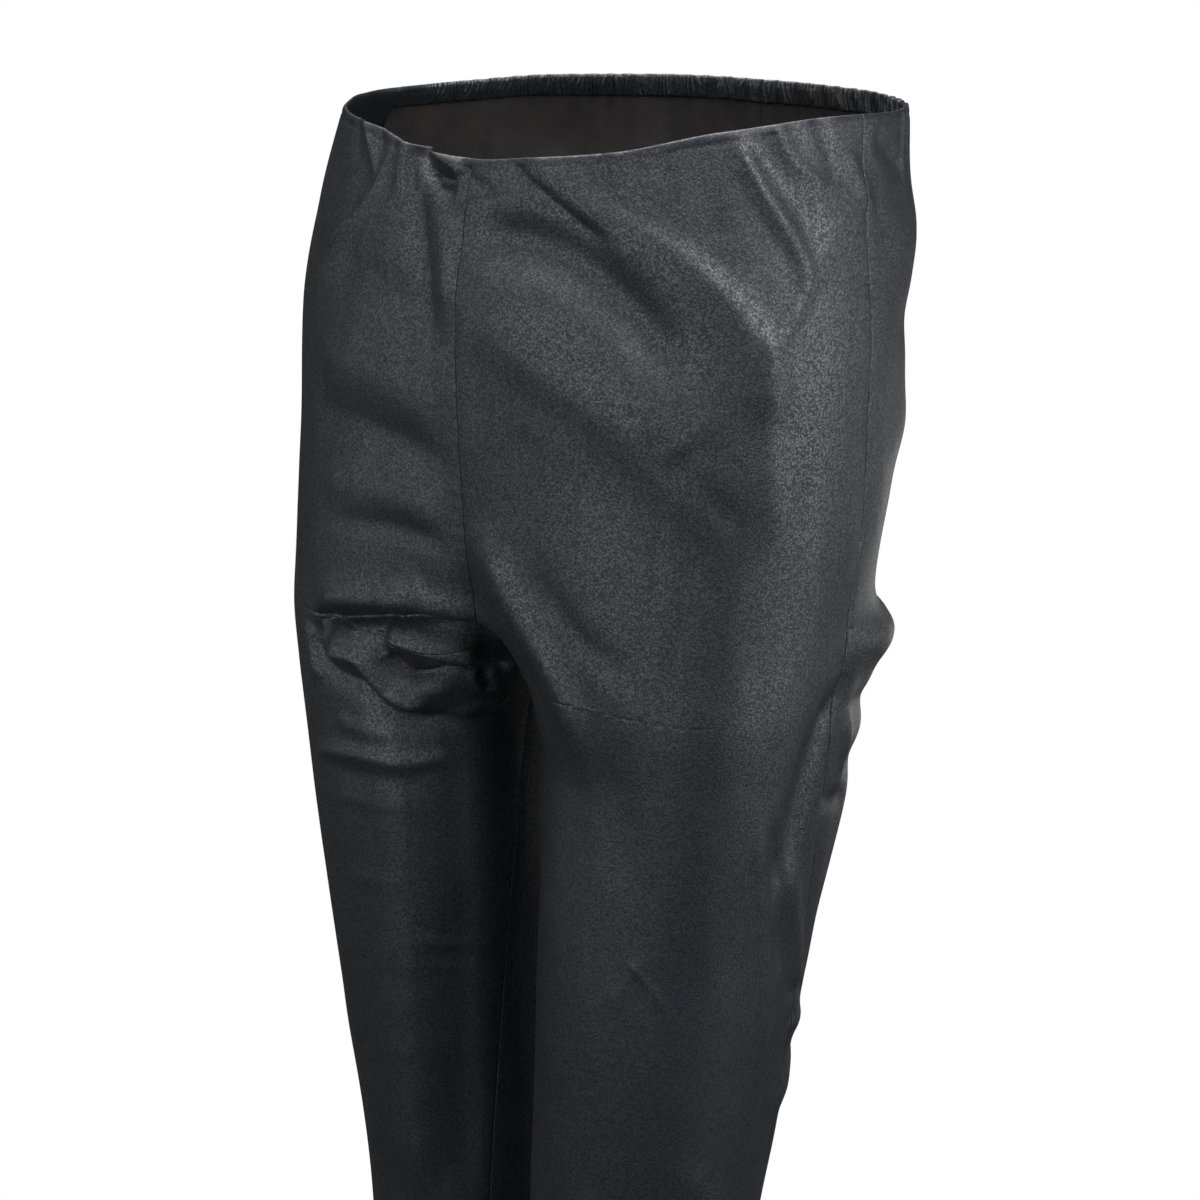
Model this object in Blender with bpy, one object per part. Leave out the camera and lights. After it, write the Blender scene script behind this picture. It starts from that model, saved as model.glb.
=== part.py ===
"""Pull-on leather trousers, worn and hollow: four panels, two front facings and two gathered back casings.

Metres, +Z up. The wearer faces -Y and the wearer's left is +X. The origin is the middle of the waist
opening. Every piece is a wall over one surface, which is a ring at each height: above the fork the ring
is cut at the centre line, so its two halves meet in the centre seams, and below it closes round a leg.
"""

import bmesh
import bpy
import numpy as np

# Cloth and seams
LEATHER = 0.0011
FACING = 0.0010
SEAM_GAP = 0.0003
HALF_GAP = SEAM_GAP / 2

# Heights, as measured down the side
FORK = -0.2738
HEM = -0.97

# Half sections: the outermost reach from the centre line, the depths ahead of and behind the middle
# line, and where that middle line lies along Y.
SECTION_COLUMNS = ("height", "outer", "front", "back", "middle")
SECTIONS = (
    (0.000, 0.1438, 0.1010, 0.1330, 0.0016),
    (-0.050, 0.1563, 0.1002, 0.1453, -0.0081),
    (-0.110, 0.1673, 0.0957, 0.1298, -0.0175),
    (-0.180, 0.1691, 0.0890, 0.1103, -0.0232),
    (-0.235, 0.1670, 0.0835, 0.1002, -0.0301),
    (-0.270, 0.1662, 0.0813, 0.1004, -0.0322),
    (-0.330, 0.1620, 0.0748, 0.0841, -0.0376),
    (-0.420, 0.1540, 0.0733, 0.0668, -0.0442),
    (-0.520, 0.1442, 0.0691, 0.0642, -0.0529),
    (-0.660, 0.1315, 0.0607, 0.0626, -0.0622),
    (-0.800, 0.1270, 0.0580, 0.0600, -0.0640),
    (HEM, 0.1235, 0.0560, 0.0575, -0.0620),
)
FRONT_SQUARENESS = 2.25
BACK_SQUARENESS = 2.0
HALF_FILL = 2.2
HALF_ROUND = 0.9
THIGH_GAP = 0.0155
THIGH_GAP_BLEND = 0.05
RIGHT_LEG_BACK = 0.0232
KNEE = -0.66

# Seams, in degrees round the section: how far the side seam lies behind the side, how far the inseam
# lies ahead of the inside, and how far the leg has turned outwards.
SEAM_COLUMNS = ("height", "side_seam", "inseam", "turn")
SEAMS = (
    (0.000, -1.5, 0.0, 0.0),
    (-0.180, -1.0, 0.0, 0.0),
    (FORK, -2.0, 0.0, 0.0),
    (-0.330, -5.0, 2.0, 6.0),
    (-0.450, -7.0, 6.0, 16.0),
    (KNEE, -8.0, 8.0, 31.0),
    (HEM, -8.0, 8.0, 35.0),
)

# The waist edge: its level by degrees round from the front, towards the wearer's left. It fades down
# the hips.
RIM_COLUMNS = ("from_front", "level")
RIM = (
    (-180, -0.0120),
    (-135, -0.0120),
    (-100, -0.0138),
    (-75, -0.0136),
    (-55, -0.0172),
    (-38, -0.0195),
    (-20, -0.0255),
    (0, -0.0278),
    (20, -0.0243),
    (40, -0.0196),
    (60, -0.0102),
    (80, -0.0060),
    (105, -0.0090),
    (140, -0.0110),
    (180, -0.0120),
)
RIM_FADE = 0.20

# Folds: each runs from a start to an end (degrees round the section, height), bowed sideways by `bow`,
# stands up by `rise` (a trough where that is negative) and is `width` from its crest to its foot.
FOLD_COLUMNS = ("leg", "from_angle", "from_height", "to_angle", "to_height", "bow", "rise", "width")
LEFT, RIGHT = 1, -1
FOLDS = (
    # right thigh, front: the deep tuck under the hip and the puffs below it
    (RIGHT, -70, -0.268, -114, -0.246, -0.003, 0.0045, 0.0100),
    (RIGHT, -70, -0.276, -142, -0.256, -0.004, -0.0062, 0.0060),
    (RIGHT, -112, -0.269, -142, -0.283, 0.000, 0.0050, 0.0085),
    (RIGHT, -112, -0.286, -150, -0.291, 0.003, -0.0045, 0.0055),
    (RIGHT, -79, -0.293, -104, -0.296, 0.000, 0.0045, 0.0085),
    (RIGHT, -101, -0.293, -134, -0.311, -0.004, 0.0042, 0.0075),
    (RIGHT, -72, -0.290, -104, -0.302, -0.004, -0.0040, 0.0060),
    (RIGHT, -99, -0.302, -130, -0.318, 0.000, -0.0030, 0.0065),
    (RIGHT, -68, -0.357, -122, -0.341, -0.001, 0.0025, 0.0080),
    (RIGHT, -92, -0.424, -132, -0.404, -0.003, 0.0020, 0.0100),
    # right hip: short ridges running down from the waist edge, and the tuck beside the centre seam
    (RIGHT, -48, 0.002, -56, -0.026, 0.001, 0.0028, 0.0060),
    (RIGHT, -61, 0.002, -50, -0.048, -0.004, 0.0032, 0.0065),
    (RIGHT, -70, 0.003, -80, -0.021, 0.001, -0.0046, 0.0055),
    (RIGHT, -82, -0.014, -86, -0.125, 0.004, 0.0028, 0.0140),
    (RIGHT, -30, 0.000, 70, 0.000, 0.000, -0.0035, 0.0180),
    # left front: the broad pull across the belly and the ridges that meet at the hip
    (LEFT, -86, -0.023, -35, -0.073, 0.003, -0.0062, 0.0150),
    (LEFT, -82, -0.003, -66, -0.027, 0.000, 0.0026, 0.0060),
    (LEFT, -74, 0.001, -20, -0.093, 0.006, 0.0048, 0.0110),
    (LEFT, -26, 0.002, -15, -0.070, 0.002, 0.0034, 0.0090),
    (LEFT, -21, 0.002, -6, -0.040, -0.002, 0.0024, 0.0070),
    (LEFT, -17, -0.072, -21, -0.182, -0.005, 0.0034, 0.0110),
    (LEFT, -38, -0.149, -31, -0.172, 0.001, 0.0018, 0.0060),
    (LEFT, -110, -0.205, -110, -0.280, 0.004, 0.0024, 0.0090),
    (LEFT, -34, -0.315, -12, -0.462, 0.003, 0.0024, 0.0070),
    (LEFT, -22, -0.322, 10, -0.452, 0.002, 0.0020, 0.0070),
    (LEFT, -12, -0.300, 16, -0.400, 0.002, -0.0024, 0.0080),
    (LEFT, -14, 0.000, 70, 0.000, 0.000, 0.0030, 0.0180),
    # left hip and seat, seen along the edge from the front
    (LEFT, 8, -0.056, 58, -0.070, 0.002, 0.0024, 0.0150),
    (LEFT, 6, -0.096, 60, -0.104, 0.002, -0.0024, 0.0140),
    (LEFT, 8, -0.146, 66, -0.150, 0.002, 0.0030, 0.0180),
    (LEFT, 4, -0.251, 84, -0.262, -0.004, 0.0105, 0.0130),
    (LEFT, 10, -0.284, 92, -0.298, -0.004, -0.0030, 0.0110),
    (LEFT, 14, -0.318, 70, -0.334, 0.003, -0.0030, 0.0120),
    (LEFT, 8, -0.455, 58, -0.470, 0.002, 0.0034, 0.0110),
    (LEFT, 10, -0.508, 66, -0.496, -0.002, 0.0026, 0.0110),
    # right hip and seat
    (RIGHT, 6, -0.090, 56, -0.102, 0.002, -0.0022, 0.0150),
    (RIGHT, 10, -0.236, 88, -0.258, -0.005, 0.0070, 0.0130),
    (RIGHT, 16, -0.270, 86, -0.286, -0.003, -0.0038, 0.0110),
    (RIGHT, 20, -0.330, 74, -0.318, 0.002, 0.0026, 0.0120),
    # backs of the knees and the shins
    (LEFT, 48, -0.572, 128, -0.590, 0.004, -0.0034, 0.0100),
    (LEFT, 60, -0.604, 142, -0.596, -0.003, 0.0028, 0.0110),
    (RIGHT, 52, -0.584, 130, -0.570, -0.004, -0.0034, 0.0100),
    (RIGHT, 58, -0.598, 146, -0.612, 0.003, 0.0028, 0.0110),
    (LEFT, -120, -0.846, -62, -0.860, 0.003, 0.0022, 0.0120),
    (RIGHT, -118, -0.872, -58, -0.856, -0.003, 0.0022, 0.0120),
    # the fullness of the seat on each side of the centre back seam
    (LEFT, 66, -0.130, 74, -0.215, 0.000, 0.0080, 0.0420),
    (RIGHT, 66, -0.130, 74, -0.215, 0.000, 0.0080, 0.0420),
)
FOLD_END = 0.16  # the share of a fold's length over which each of its ends fades

# Gathers of the back waist: soft waves in each back panel, and ribs on the inner face of its casing.
GATHERS = 20
GATHER_RISE = 0.0011
GATHER_LENGTH = 0.050
GATHER_START = 0.12
RIBS_PER_GATHER = 2
RIB_RISE = 0.0012
RIB_SHARE_AT_EDGE = 0.5
CASING_ROWS = 2
FACING_ROWS = 3

# Rows across each panel: their spacing along its inner edge, by the distance below the waist.
ROW_COLUMNS = ("below", "spacing")
FRONT_ROWS = (
    (0.000, 0.009),
    (0.100, 0.017),
    (0.180, 0.012),
    (0.240, 0.0095),
    (0.400, 0.011),
    (0.520, 0.030),
    (1.300, 0.036),
)
BACK_ROWS = (
    (0.000, 0.0065),
    (0.030, 0.016),
    (0.180, 0.020),
    (0.280, 0.013),
    (0.420, 0.020),
    (0.560, 0.032),
    (1.300, 0.038),
)
FRONT_COLUMNS = 14
BACK_COLUMNS = 10
GATHERED_ROWS = 5
ARC_SAMPLES = 49
SEAT_SAMPLES = 240
LEG_SAMPLES = 400
TURN_STEP = 1e-3
DROP_STEP = 2e-4
SHARP_EDGE_DEGREES = 60.0

FINISHES = {
    "leather": ((0.036, 0.036, 0.040, 1.0), 0.42),
    "facing": ((0.040, 0.040, 0.040, 1.0), 0.55),
}


def column(columns, rows, name, at):
    """Reads one column of a table at the heights `at`, on a smooth curve that never overshoots its rows."""
    table = np.array(rows)
    table = table[np.argsort(table[:, 0])]
    places, values = table[:, 0], table[:, columns.index(name)]
    steps = np.diff(places)
    slopes = np.diff(values) / steps
    both = slopes[:-1] + slopes[1:]
    turning = slopes[:-1] * slopes[1:] <= 0
    between = np.where(turning, 0.0, 2 * slopes[:-1] * slopes[1:] / np.where(both == 0, 1.0, both))
    leaning = np.concatenate([slopes[:1], between, slopes[-1:]])
    at = np.clip(at, places[0], places[-1])
    span = np.clip(np.searchsorted(places, at, side="right") - 1, 0, len(steps) - 1)
    t = (at - places[span]) / steps[span]
    return (
        (1 + 2 * t) * (1 - t) ** 2 * values[span]
        + t * (1 - t) ** 2 * steps[span] * leaning[span]
        + t**2 * (3 - 2 * t) * values[span + 1]
        + t**2 * (t - 1) * steps[span] * leaning[span + 1]
    )


def soft(t):
    """Rises smoothly from 0 to 1 as t does."""
    t = np.clip(t, 0, 1)
    return t * t * (3 - 2 * t)


def section(leg, height):
    """The ring at a height: centre, middle along Y, half width, and depths ahead and behind."""
    outer = column(SECTION_COLUMNS, SECTIONS, "outer", height)
    front = column(SECTION_COLUMNS, SECTIONS, "front", height)
    back = column(SECTION_COLUMNS, SECTIONS, "back", height)
    middle = column(SECTION_COLUMNS, SECTIONS, "middle", height)
    down = np.clip(height / FORK, 0, 1)
    past_centre = HALF_GAP - (outer + HALF_GAP) * (1 - down**HALF_FILL) ** HALF_ROUND
    inside_leg = HALF_GAP + THIGH_GAP * soft((FORK - height) / THIGH_GAP_BLEND)
    inner = np.where(height > FORK, past_centre, inside_leg)
    if leg == RIGHT:
        middle = middle + RIGHT_LEG_BACK * soft((FORK - height) / (FORK - KNEE))
    return (outer + inner) / 2, middle, (outer - inner) / 2, front, back


def reach(angle, half, front, back):
    """The distance from a ring's centre to the ring, in the direction `angle`."""
    ahead = np.sin(angle) < 0
    depth = np.where(ahead, front, back)
    square = np.where(ahead, FRONT_SQUARENESS, BACK_SQUARENESS)
    across, along = np.abs(np.cos(angle) / half), np.abs(np.sin(angle) / depth)
    return (across**square + along**square) ** (-1 / square)


def skin(leg, angle, height):
    """A point of the smooth surface: 0 rad is the outer side, negative angles are ahead."""
    centre, middle, half, front, back = section(leg, height)
    out = reach(angle, half, front, back)
    x = leg * (centre + out * np.cos(angle))
    y = middle + out * np.sin(angle)
    rim = column(RIM_COLUMNS, RIM, "level", np.degrees(np.arctan2(x, middle - y)))
    z = height + rim * np.clip(1 + height / RIM_FADE, 0, 1)
    return np.stack(np.broadcast_arrays(x, y, z), axis=-1)


def fold_rise(leg, angle, height):
    """How far the folds of a leg stand out at a point."""
    total = np.zeros(np.broadcast(angle, height).shape)
    for row in FOLDS:
        fold = dict(zip(FOLD_COLUMNS, row))
        if fold["leg"] != leg:
            continue
        half_way = (fold["from_height"] + fold["to_height"]) / 2
        _, _, half, front, back = section(leg, np.array(half_way))
        radius = (half + (front + back) / 2) / 2
        start = np.radians(fold["from_angle"])
        across = (np.radians(fold["to_angle"]) - start) * radius
        down = fold["to_height"] - fold["from_height"]
        length = np.hypot(across, down)
        turned = np.angle(np.exp(1j * (angle - start)))
        offset = height - fold["from_height"]
        along = (turned * radius * across + offset * down) / length**2
        aside = (offset * across - turned * radius * down) / length
        aside = aside - 4 * fold["bow"] * along * (1 - along)
        ends = soft((along + FOLD_END) / (2 * FOLD_END)) * soft((1 + FOLD_END - along) / (2 * FOLD_END))
        total = total + fold["rise"] * ends * np.exp(-((aside / fold["width"]) ** 2))
    return total


def outward(leg, angle, height, surface):
    """The outward normals of a surface, from two small steps over it."""
    around = surface(leg, angle + TURN_STEP, height) - surface(leg, angle - TURN_STEP, height)
    upward = surface(leg, angle, height + DROP_STEP) - surface(leg, angle, height - DROP_STEP)
    normal = leg * np.cross(around, upward)
    return normal / np.linalg.norm(normal, axis=-1, keepdims=True)


def folded(leg, angle, height):
    """The smooth surface with its folds."""
    out = outward(leg, angle, height, skin)
    return skin(leg, angle, height) + out * fold_rise(leg, angle, height)[..., None]


def inner_angle(leg, height, ahead):
    """Where a panel's inner edge lies on the ring: the centre seam above the fork, and the inseam below."""
    centre, _, half, front, back = section(leg, height)
    depth, square = (front, FRONT_SQUARENESS) if ahead else (back, BACK_SQUARENESS)
    share = np.clip((centre - HALF_GAP) / half, 0, 1)
    at_centre = np.arctan2(depth * (1 - share**square) ** (1 / square), HALF_GAP - centre)
    forward = column(SEAM_COLUMNS, SEAMS, "inseam", height) + column(SEAM_COLUMNS, SEAMS, "turn", height)
    at_inseam = np.pi - np.radians(forward) if ahead else np.pi + np.radians(forward)
    room = HALF_GAP / half
    size = np.where(height > FORK, np.minimum(at_centre, np.pi - room), at_inseam - room)
    return -size if ahead else size


def side_angle(leg, height, ahead):
    """Where a panel's outer edge lies on the ring, at the side seam."""
    back = column(SEAM_COLUMNS, SEAMS, "side_seam", height) + column(SEAM_COLUMNS, SEAMS, "turn", height)
    _, _, half, _, _ = section(leg, height)
    room = HALF_GAP / half
    return np.radians(back) + (-room if ahead else room)


def row_heights(leg, ahead, row_table):
    """The heights of a panel's rows at its inner edge and at its side seam.

    The inner edge is measured along its curve, so the rows stay close together round the fork.
    """
    above = FORK * (1 - np.linspace(1, 0, SEAT_SAMPLES) ** 2)
    under = FORK + (HEM - FORK) * np.linspace(0, 1, LEG_SAMPLES)[1:] ** 2
    heights = np.concatenate([above, under])
    edge = skin(leg, inner_angle(leg, heights, ahead), heights)
    below = np.concatenate([[0], np.cumsum(np.linalg.norm(np.diff(edge, axis=0), axis=1))])
    spacing = column(ROW_COLUMNS, row_table, "spacing", below[1:])
    count = np.concatenate([[0], np.cumsum(np.diff(below) / spacing)])
    rows = np.linspace(0, count[-1], int(round(count[-1])) + 1)
    at = np.interp(rows, count, below)
    inner = np.interp(at, below, heights)
    inner[0], inner[-1] = 0.0, HEM
    return inner, HEM * at / below[-1]


def on_ring(leg, height, share, ahead):
    """The angles that divide the stretch between a panel's two edges in the given shares of its length."""
    first, last = inner_angle(leg, height, ahead), side_angle(leg, height, ahead)
    t = np.linspace(0, 1, ARC_SAMPLES)
    angles = first[..., None] + (last - first)[..., None] * t
    _, _, half, front, back = section(leg, height[..., None])
    out = reach(angles, half, front, back)
    steps = np.hypot(np.diff(out * np.cos(angles)), np.diff(out * np.sin(angles)))
    length = np.concatenate([np.zeros(steps.shape[:-1] + (1,)), np.cumsum(steps, axis=-1)], axis=-1)
    target = share * length[..., -1]
    span = np.clip((length <= target[..., None]).sum(-1) - 1, 0, ARC_SAMPLES - 2)[..., None]
    low = np.take_along_axis(length, span, -1)[..., 0]
    high = np.take_along_axis(length, span + 1, -1)[..., 0]
    place = (span[..., 0] + (target - low) / (high - low)) / (ARC_SAMPLES - 1)
    return first + (last - first) * place


def gather_rise(share, height):
    """The gathers of a back panel: even waves, fading towards the side seam and down the seat."""
    plain = 1 - GATHER_START
    fade = soft((plain - share) / GATHER_START) * soft(1 + height / GATHER_LENGTH)
    return GATHER_RISE * fade * np.cos(2 * np.pi * GATHERS * share)


def panel_rows(leg, ahead):
    """The rows of a panel as (outer points, inner points), from the waist to the hem."""
    table = FRONT_ROWS if ahead else BACK_ROWS
    rows = []
    for number, (at_inner, at_side) in enumerate(zip(*row_heights(leg, ahead, table))):
        fine = not ahead and number < GATHERED_ROWS
        steps = 2 * GATHERS if fine else (FRONT_COLUMNS if ahead else BACK_COLUMNS)
        share = np.linspace(0, 1, steps + 1)
        height = at_inner + (at_side - at_inner) * soft(share)
        angle = on_ring(leg, height, share, ahead)
        out = outward(leg, angle, height, folded)
        outer = folded(leg, angle, height)
        if fine:
            outer = outer + out * gather_rise(share, height)[:, None]
        inner = outer - out * LEATHER
        rows.append((clear_of_centre(leg, outer), clear_of_centre(leg, inner)))
    return rows


def clear_of_centre(leg, points):
    """Keeps points on their own side of the centre line, with half a seam gap to it."""
    points = points.copy()
    points[:, 0] = leg * np.maximum(leg * points[:, 0], HALF_GAP)
    return points


def strip(upper, lower):
    """The faces between two rows of points. Where the upper row is finer, its steps fan into the lower."""
    each = (len(upper) - 1) // (len(lower) - 1)
    faces = []
    for step in range(len(lower) - 1):
        left, right = lower[step], lower[step + 1]
        above = upper[step * each : (step + 1) * each + 1]
        middle = each // 2
        faces += [(left, above[k + 1], above[k]) for k in range(middle)]
        faces.append((left, right, above[middle]))
        faces += [(right, above[k + 1], above[k]) for k in range(middle, each)]
    return faces


def wall(name, rows, finish):
    """Makes one closed wall from rows of (outer, inner) points, and adds it to the scene."""
    mesh = bmesh.new()
    numbers = []
    for row in rows:
        numbers.append([[mesh.verts.new(tuple(point)) for point in side] for side in row])
    for (outer_above, inner_above), (outer_below, inner_below) in zip(numbers[:-1], numbers[1:]):
        for face in strip(outer_above, outer_below):
            mesh.faces.new(face)
        for face in strip(inner_above, inner_below):
            mesh.faces.new(face[::-1])
    first, last = ([[row[side][end] for row in numbers] for side in (0, 1)] for end in (0, -1))
    for edge in (numbers[0], numbers[-1], first, last):
        for face in strip(*sorted(edge, key=len, reverse=True)):
            mesh.faces.new(face)
    bmesh.ops.recalc_face_normals(mesh, faces=mesh.faces)
    data = bpy.data.meshes.new(name)
    mesh.to_mesh(data)
    mesh.free()
    data.materials.append(material(finish))
    data.shade_smooth()
    data.set_sharp_from_angle(angle=np.radians(SHARP_EDGE_DEGREES))
    piece = bpy.data.objects.new(name, data)
    bpy.context.scene.collection.objects.link(piece)
    return piece


def material(name):
    """The finish of that name, made once."""
    found = bpy.data.materials.get(name)
    if found:
        return found
    colour, roughness = FINISHES[name]
    made = bpy.data.materials.new(name)
    made.use_nodes = True
    shader = made.node_tree.nodes["Principled BSDF"]
    shader.inputs["Base Color"].default_value = colour
    shader.inputs["Roughness"].default_value = roughness
    shader.inputs["Metallic"].default_value = 0.0
    return made


def inward(rows):
    """The directions from the outer to the inner points of each row."""
    return [(inner - outer) / np.linalg.norm(inner - outer, axis=1, keepdims=True) for outer, inner in rows]


def front_facing(leg, rows):
    """A plain strip inside the front's top edge, made from the panel's own inner points."""
    covered = rows[: FACING_ROWS + 1]
    pieces = []
    for (_, inner), into in zip(covered, inward(covered)):
        near = clear_of_centre(leg, inner + into * SEAM_GAP)
        pieces.append((near, clear_of_centre(leg, near + into * FACING)))
    return pieces


def finer(points, parts):
    """Points with each step between them divided in equal parts."""
    steps = np.linspace(0, len(points) - 1, parts * (len(points) - 1) + 1)
    known = np.arange(len(points))
    return np.stack([np.interp(steps, known, points[:, axis]) for axis in range(points.shape[1])], axis=1)


def back_casing(rows):
    """Half of the elastic casing, from the centre back to the side seam, ribbed on the side that shows."""
    covered = rows[: CASING_ROWS + 1]
    pieces = []
    for number, ((_, inner), into) in enumerate(zip(covered, inward(covered))):
        near = inner + into * SEAM_GAP
        base, into = finer(near, RIBS_PER_GATHER), finer(into, RIBS_PER_GATHER)
        into = into / np.linalg.norm(into, axis=1, keepdims=True)
        share = np.linspace(0, 1, len(base))
        crest = np.arange(len(base)) % RIBS_PER_GATHER
        full = 1.0 if 0 < number < CASING_ROWS else RIB_SHARE_AT_EDGE
        rise = RIB_RISE * full * crest * soft((1 - GATHER_START - share) / GATHER_START)
        pieces.append((near, base + into * (FACING + rise[:, None])))
    return pieces


def build():
    """Clears the scene and makes every piece."""
    for old in list(bpy.data.objects):
        bpy.data.objects.remove(old, do_unlink=True)
    for leg, side in ((LEFT, "left"), (RIGHT, "right")):
        front, back = panel_rows(leg, True), panel_rows(leg, False)
        wall(f"front_{side}", front, "leather")
        wall(f"back_{side}", back, "leather")
        wall(f"front_facing_{side}", front_facing(leg, front), "facing")
        wall(f"back_casing_{side}", back_casing(back), "facing")


build()
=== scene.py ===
"""Looks of a pair of pull-on leather trousers, worn and hollow.

Metres, +Z up. The wearer faces -Y, the wearer's left is +X, and the origin is the middle of the waist
opening. Every piece lies on one surface: a ring at each height, cut at the centre line above the fork
and closed round a leg below it. Folds, slack and gathers stand out from that surface, and each piece is
a closed shell on it.
"""

import logging
from dataclasses import dataclass, field
from enum import Enum
from functools import cached_property

import bpy
import numpy as np
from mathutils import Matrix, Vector

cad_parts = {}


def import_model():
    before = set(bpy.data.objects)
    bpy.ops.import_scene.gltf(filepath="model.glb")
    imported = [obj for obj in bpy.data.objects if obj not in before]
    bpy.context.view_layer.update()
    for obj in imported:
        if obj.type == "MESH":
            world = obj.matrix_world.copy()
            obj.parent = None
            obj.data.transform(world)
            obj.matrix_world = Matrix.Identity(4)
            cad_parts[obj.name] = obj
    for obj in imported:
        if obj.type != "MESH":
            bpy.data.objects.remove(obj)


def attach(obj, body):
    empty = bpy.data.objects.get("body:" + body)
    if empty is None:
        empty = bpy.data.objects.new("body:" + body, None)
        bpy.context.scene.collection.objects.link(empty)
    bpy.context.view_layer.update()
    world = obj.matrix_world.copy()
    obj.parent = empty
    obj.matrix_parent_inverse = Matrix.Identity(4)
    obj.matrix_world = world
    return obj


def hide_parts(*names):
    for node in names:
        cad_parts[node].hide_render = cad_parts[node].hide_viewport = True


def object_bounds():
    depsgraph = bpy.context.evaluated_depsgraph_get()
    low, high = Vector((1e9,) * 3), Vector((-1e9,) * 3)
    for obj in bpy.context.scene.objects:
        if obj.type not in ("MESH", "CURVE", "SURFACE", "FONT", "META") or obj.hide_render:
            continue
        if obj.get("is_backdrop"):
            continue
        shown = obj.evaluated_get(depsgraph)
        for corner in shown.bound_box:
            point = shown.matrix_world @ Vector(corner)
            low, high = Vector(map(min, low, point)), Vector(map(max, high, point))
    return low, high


Array = np.ndarray
LOG = logging.getLogger("trousers")
MM = 0.001


class Leg(Enum):
    """One half of the trousers, by the wearer's side. The value is the sign of X there."""

    LEFT = 1
    RIGHT = -1


class Face(Enum):
    """The half of a leg that a panel covers. The value is the sign of its angles."""

    FRONT = -1
    BACK = 1


class Crest(Enum):
    """The outline of a fold across its path. The value is the power in its fall-off."""

    ROUND = 2.0
    SHARP = 1.15


def soft(t: Array) -> Array:
    """Rises smoothly from 0 to 1 as t does: 3 t squared less 2 t cubed."""
    t = np.clip(t, 0, 1)
    return t * t * (3 - 2 * t)


def rounded_edge(distance: Array, reach: float, depth: float) -> Array:
    """How far a rolled edge has sunk at a distance from it: a quarter of an ellipse.

    Args:
        distance: the distance from the edge.
        reach: the distance over which the edge rolls down.
        depth: how deep it sinks at the edge itself.

    Returns:
        The depth below the flat surface, 0 past the reach.
    """
    share = np.clip(1 - distance / reach, 0, 1)
    return depth * (1 - np.sqrt(1 - share**2))


def rows_of(array: Array) -> Array:
    """The array as a plain list of points, three numbers to a row."""
    return array.reshape(-1, 3)


@dataclass(frozen=True)
class SmoothTable:
    """A table read on a smooth curve that never overshoots its rows."""

    columns: tuple[str, ...]
    rows: tuple[tuple[float, ...], ...]

    def read(self, name: str, at: Array) -> Array:
        """Reads one column between its rows, by cubic pieces whose slopes are harmonic means.

        Args:
            name: the column.
            at: places along the first column.

        Returns:
            The column's values at those places.
        """
        table = np.array(self.rows)
        table = table[np.argsort(table[:, 0])]
        places, values = table[:, 0], table[:, self.columns.index(name)]
        steps = np.diff(places)
        slopes = np.diff(values) / steps
        both = slopes[:-1] + slopes[1:]
        turning = slopes[:-1] * slopes[1:] <= 0
        between = np.where(turning, 0.0, 2 * slopes[:-1] * slopes[1:] / np.where(both == 0, 1.0, both))
        leaning = np.concatenate([slopes[:1], between, slopes[-1:]])
        at = np.clip(at, places[0], places[-1])
        span = np.clip(np.searchsorted(places, at, side="right") - 1, 0, len(steps) - 1)
        t = (at - places[span]) / steps[span]
        return (
            (1 + 2 * t) * (1 - t) ** 2 * values[span]
            + t * (1 - t) ** 2 * steps[span] * leaning[span]
            + t**2 * (3 - 2 * t) * values[span + 1]
            + t**2 * (t - 1) * steps[span] * leaning[span + 1]
        )


@dataclass(frozen=True)
class Section:
    """The ring at some heights: its centre, its middle along Y, its half width and its two depths."""

    centre: Array
    middle: Array
    half: Array
    front: Array
    back: Array


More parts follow.
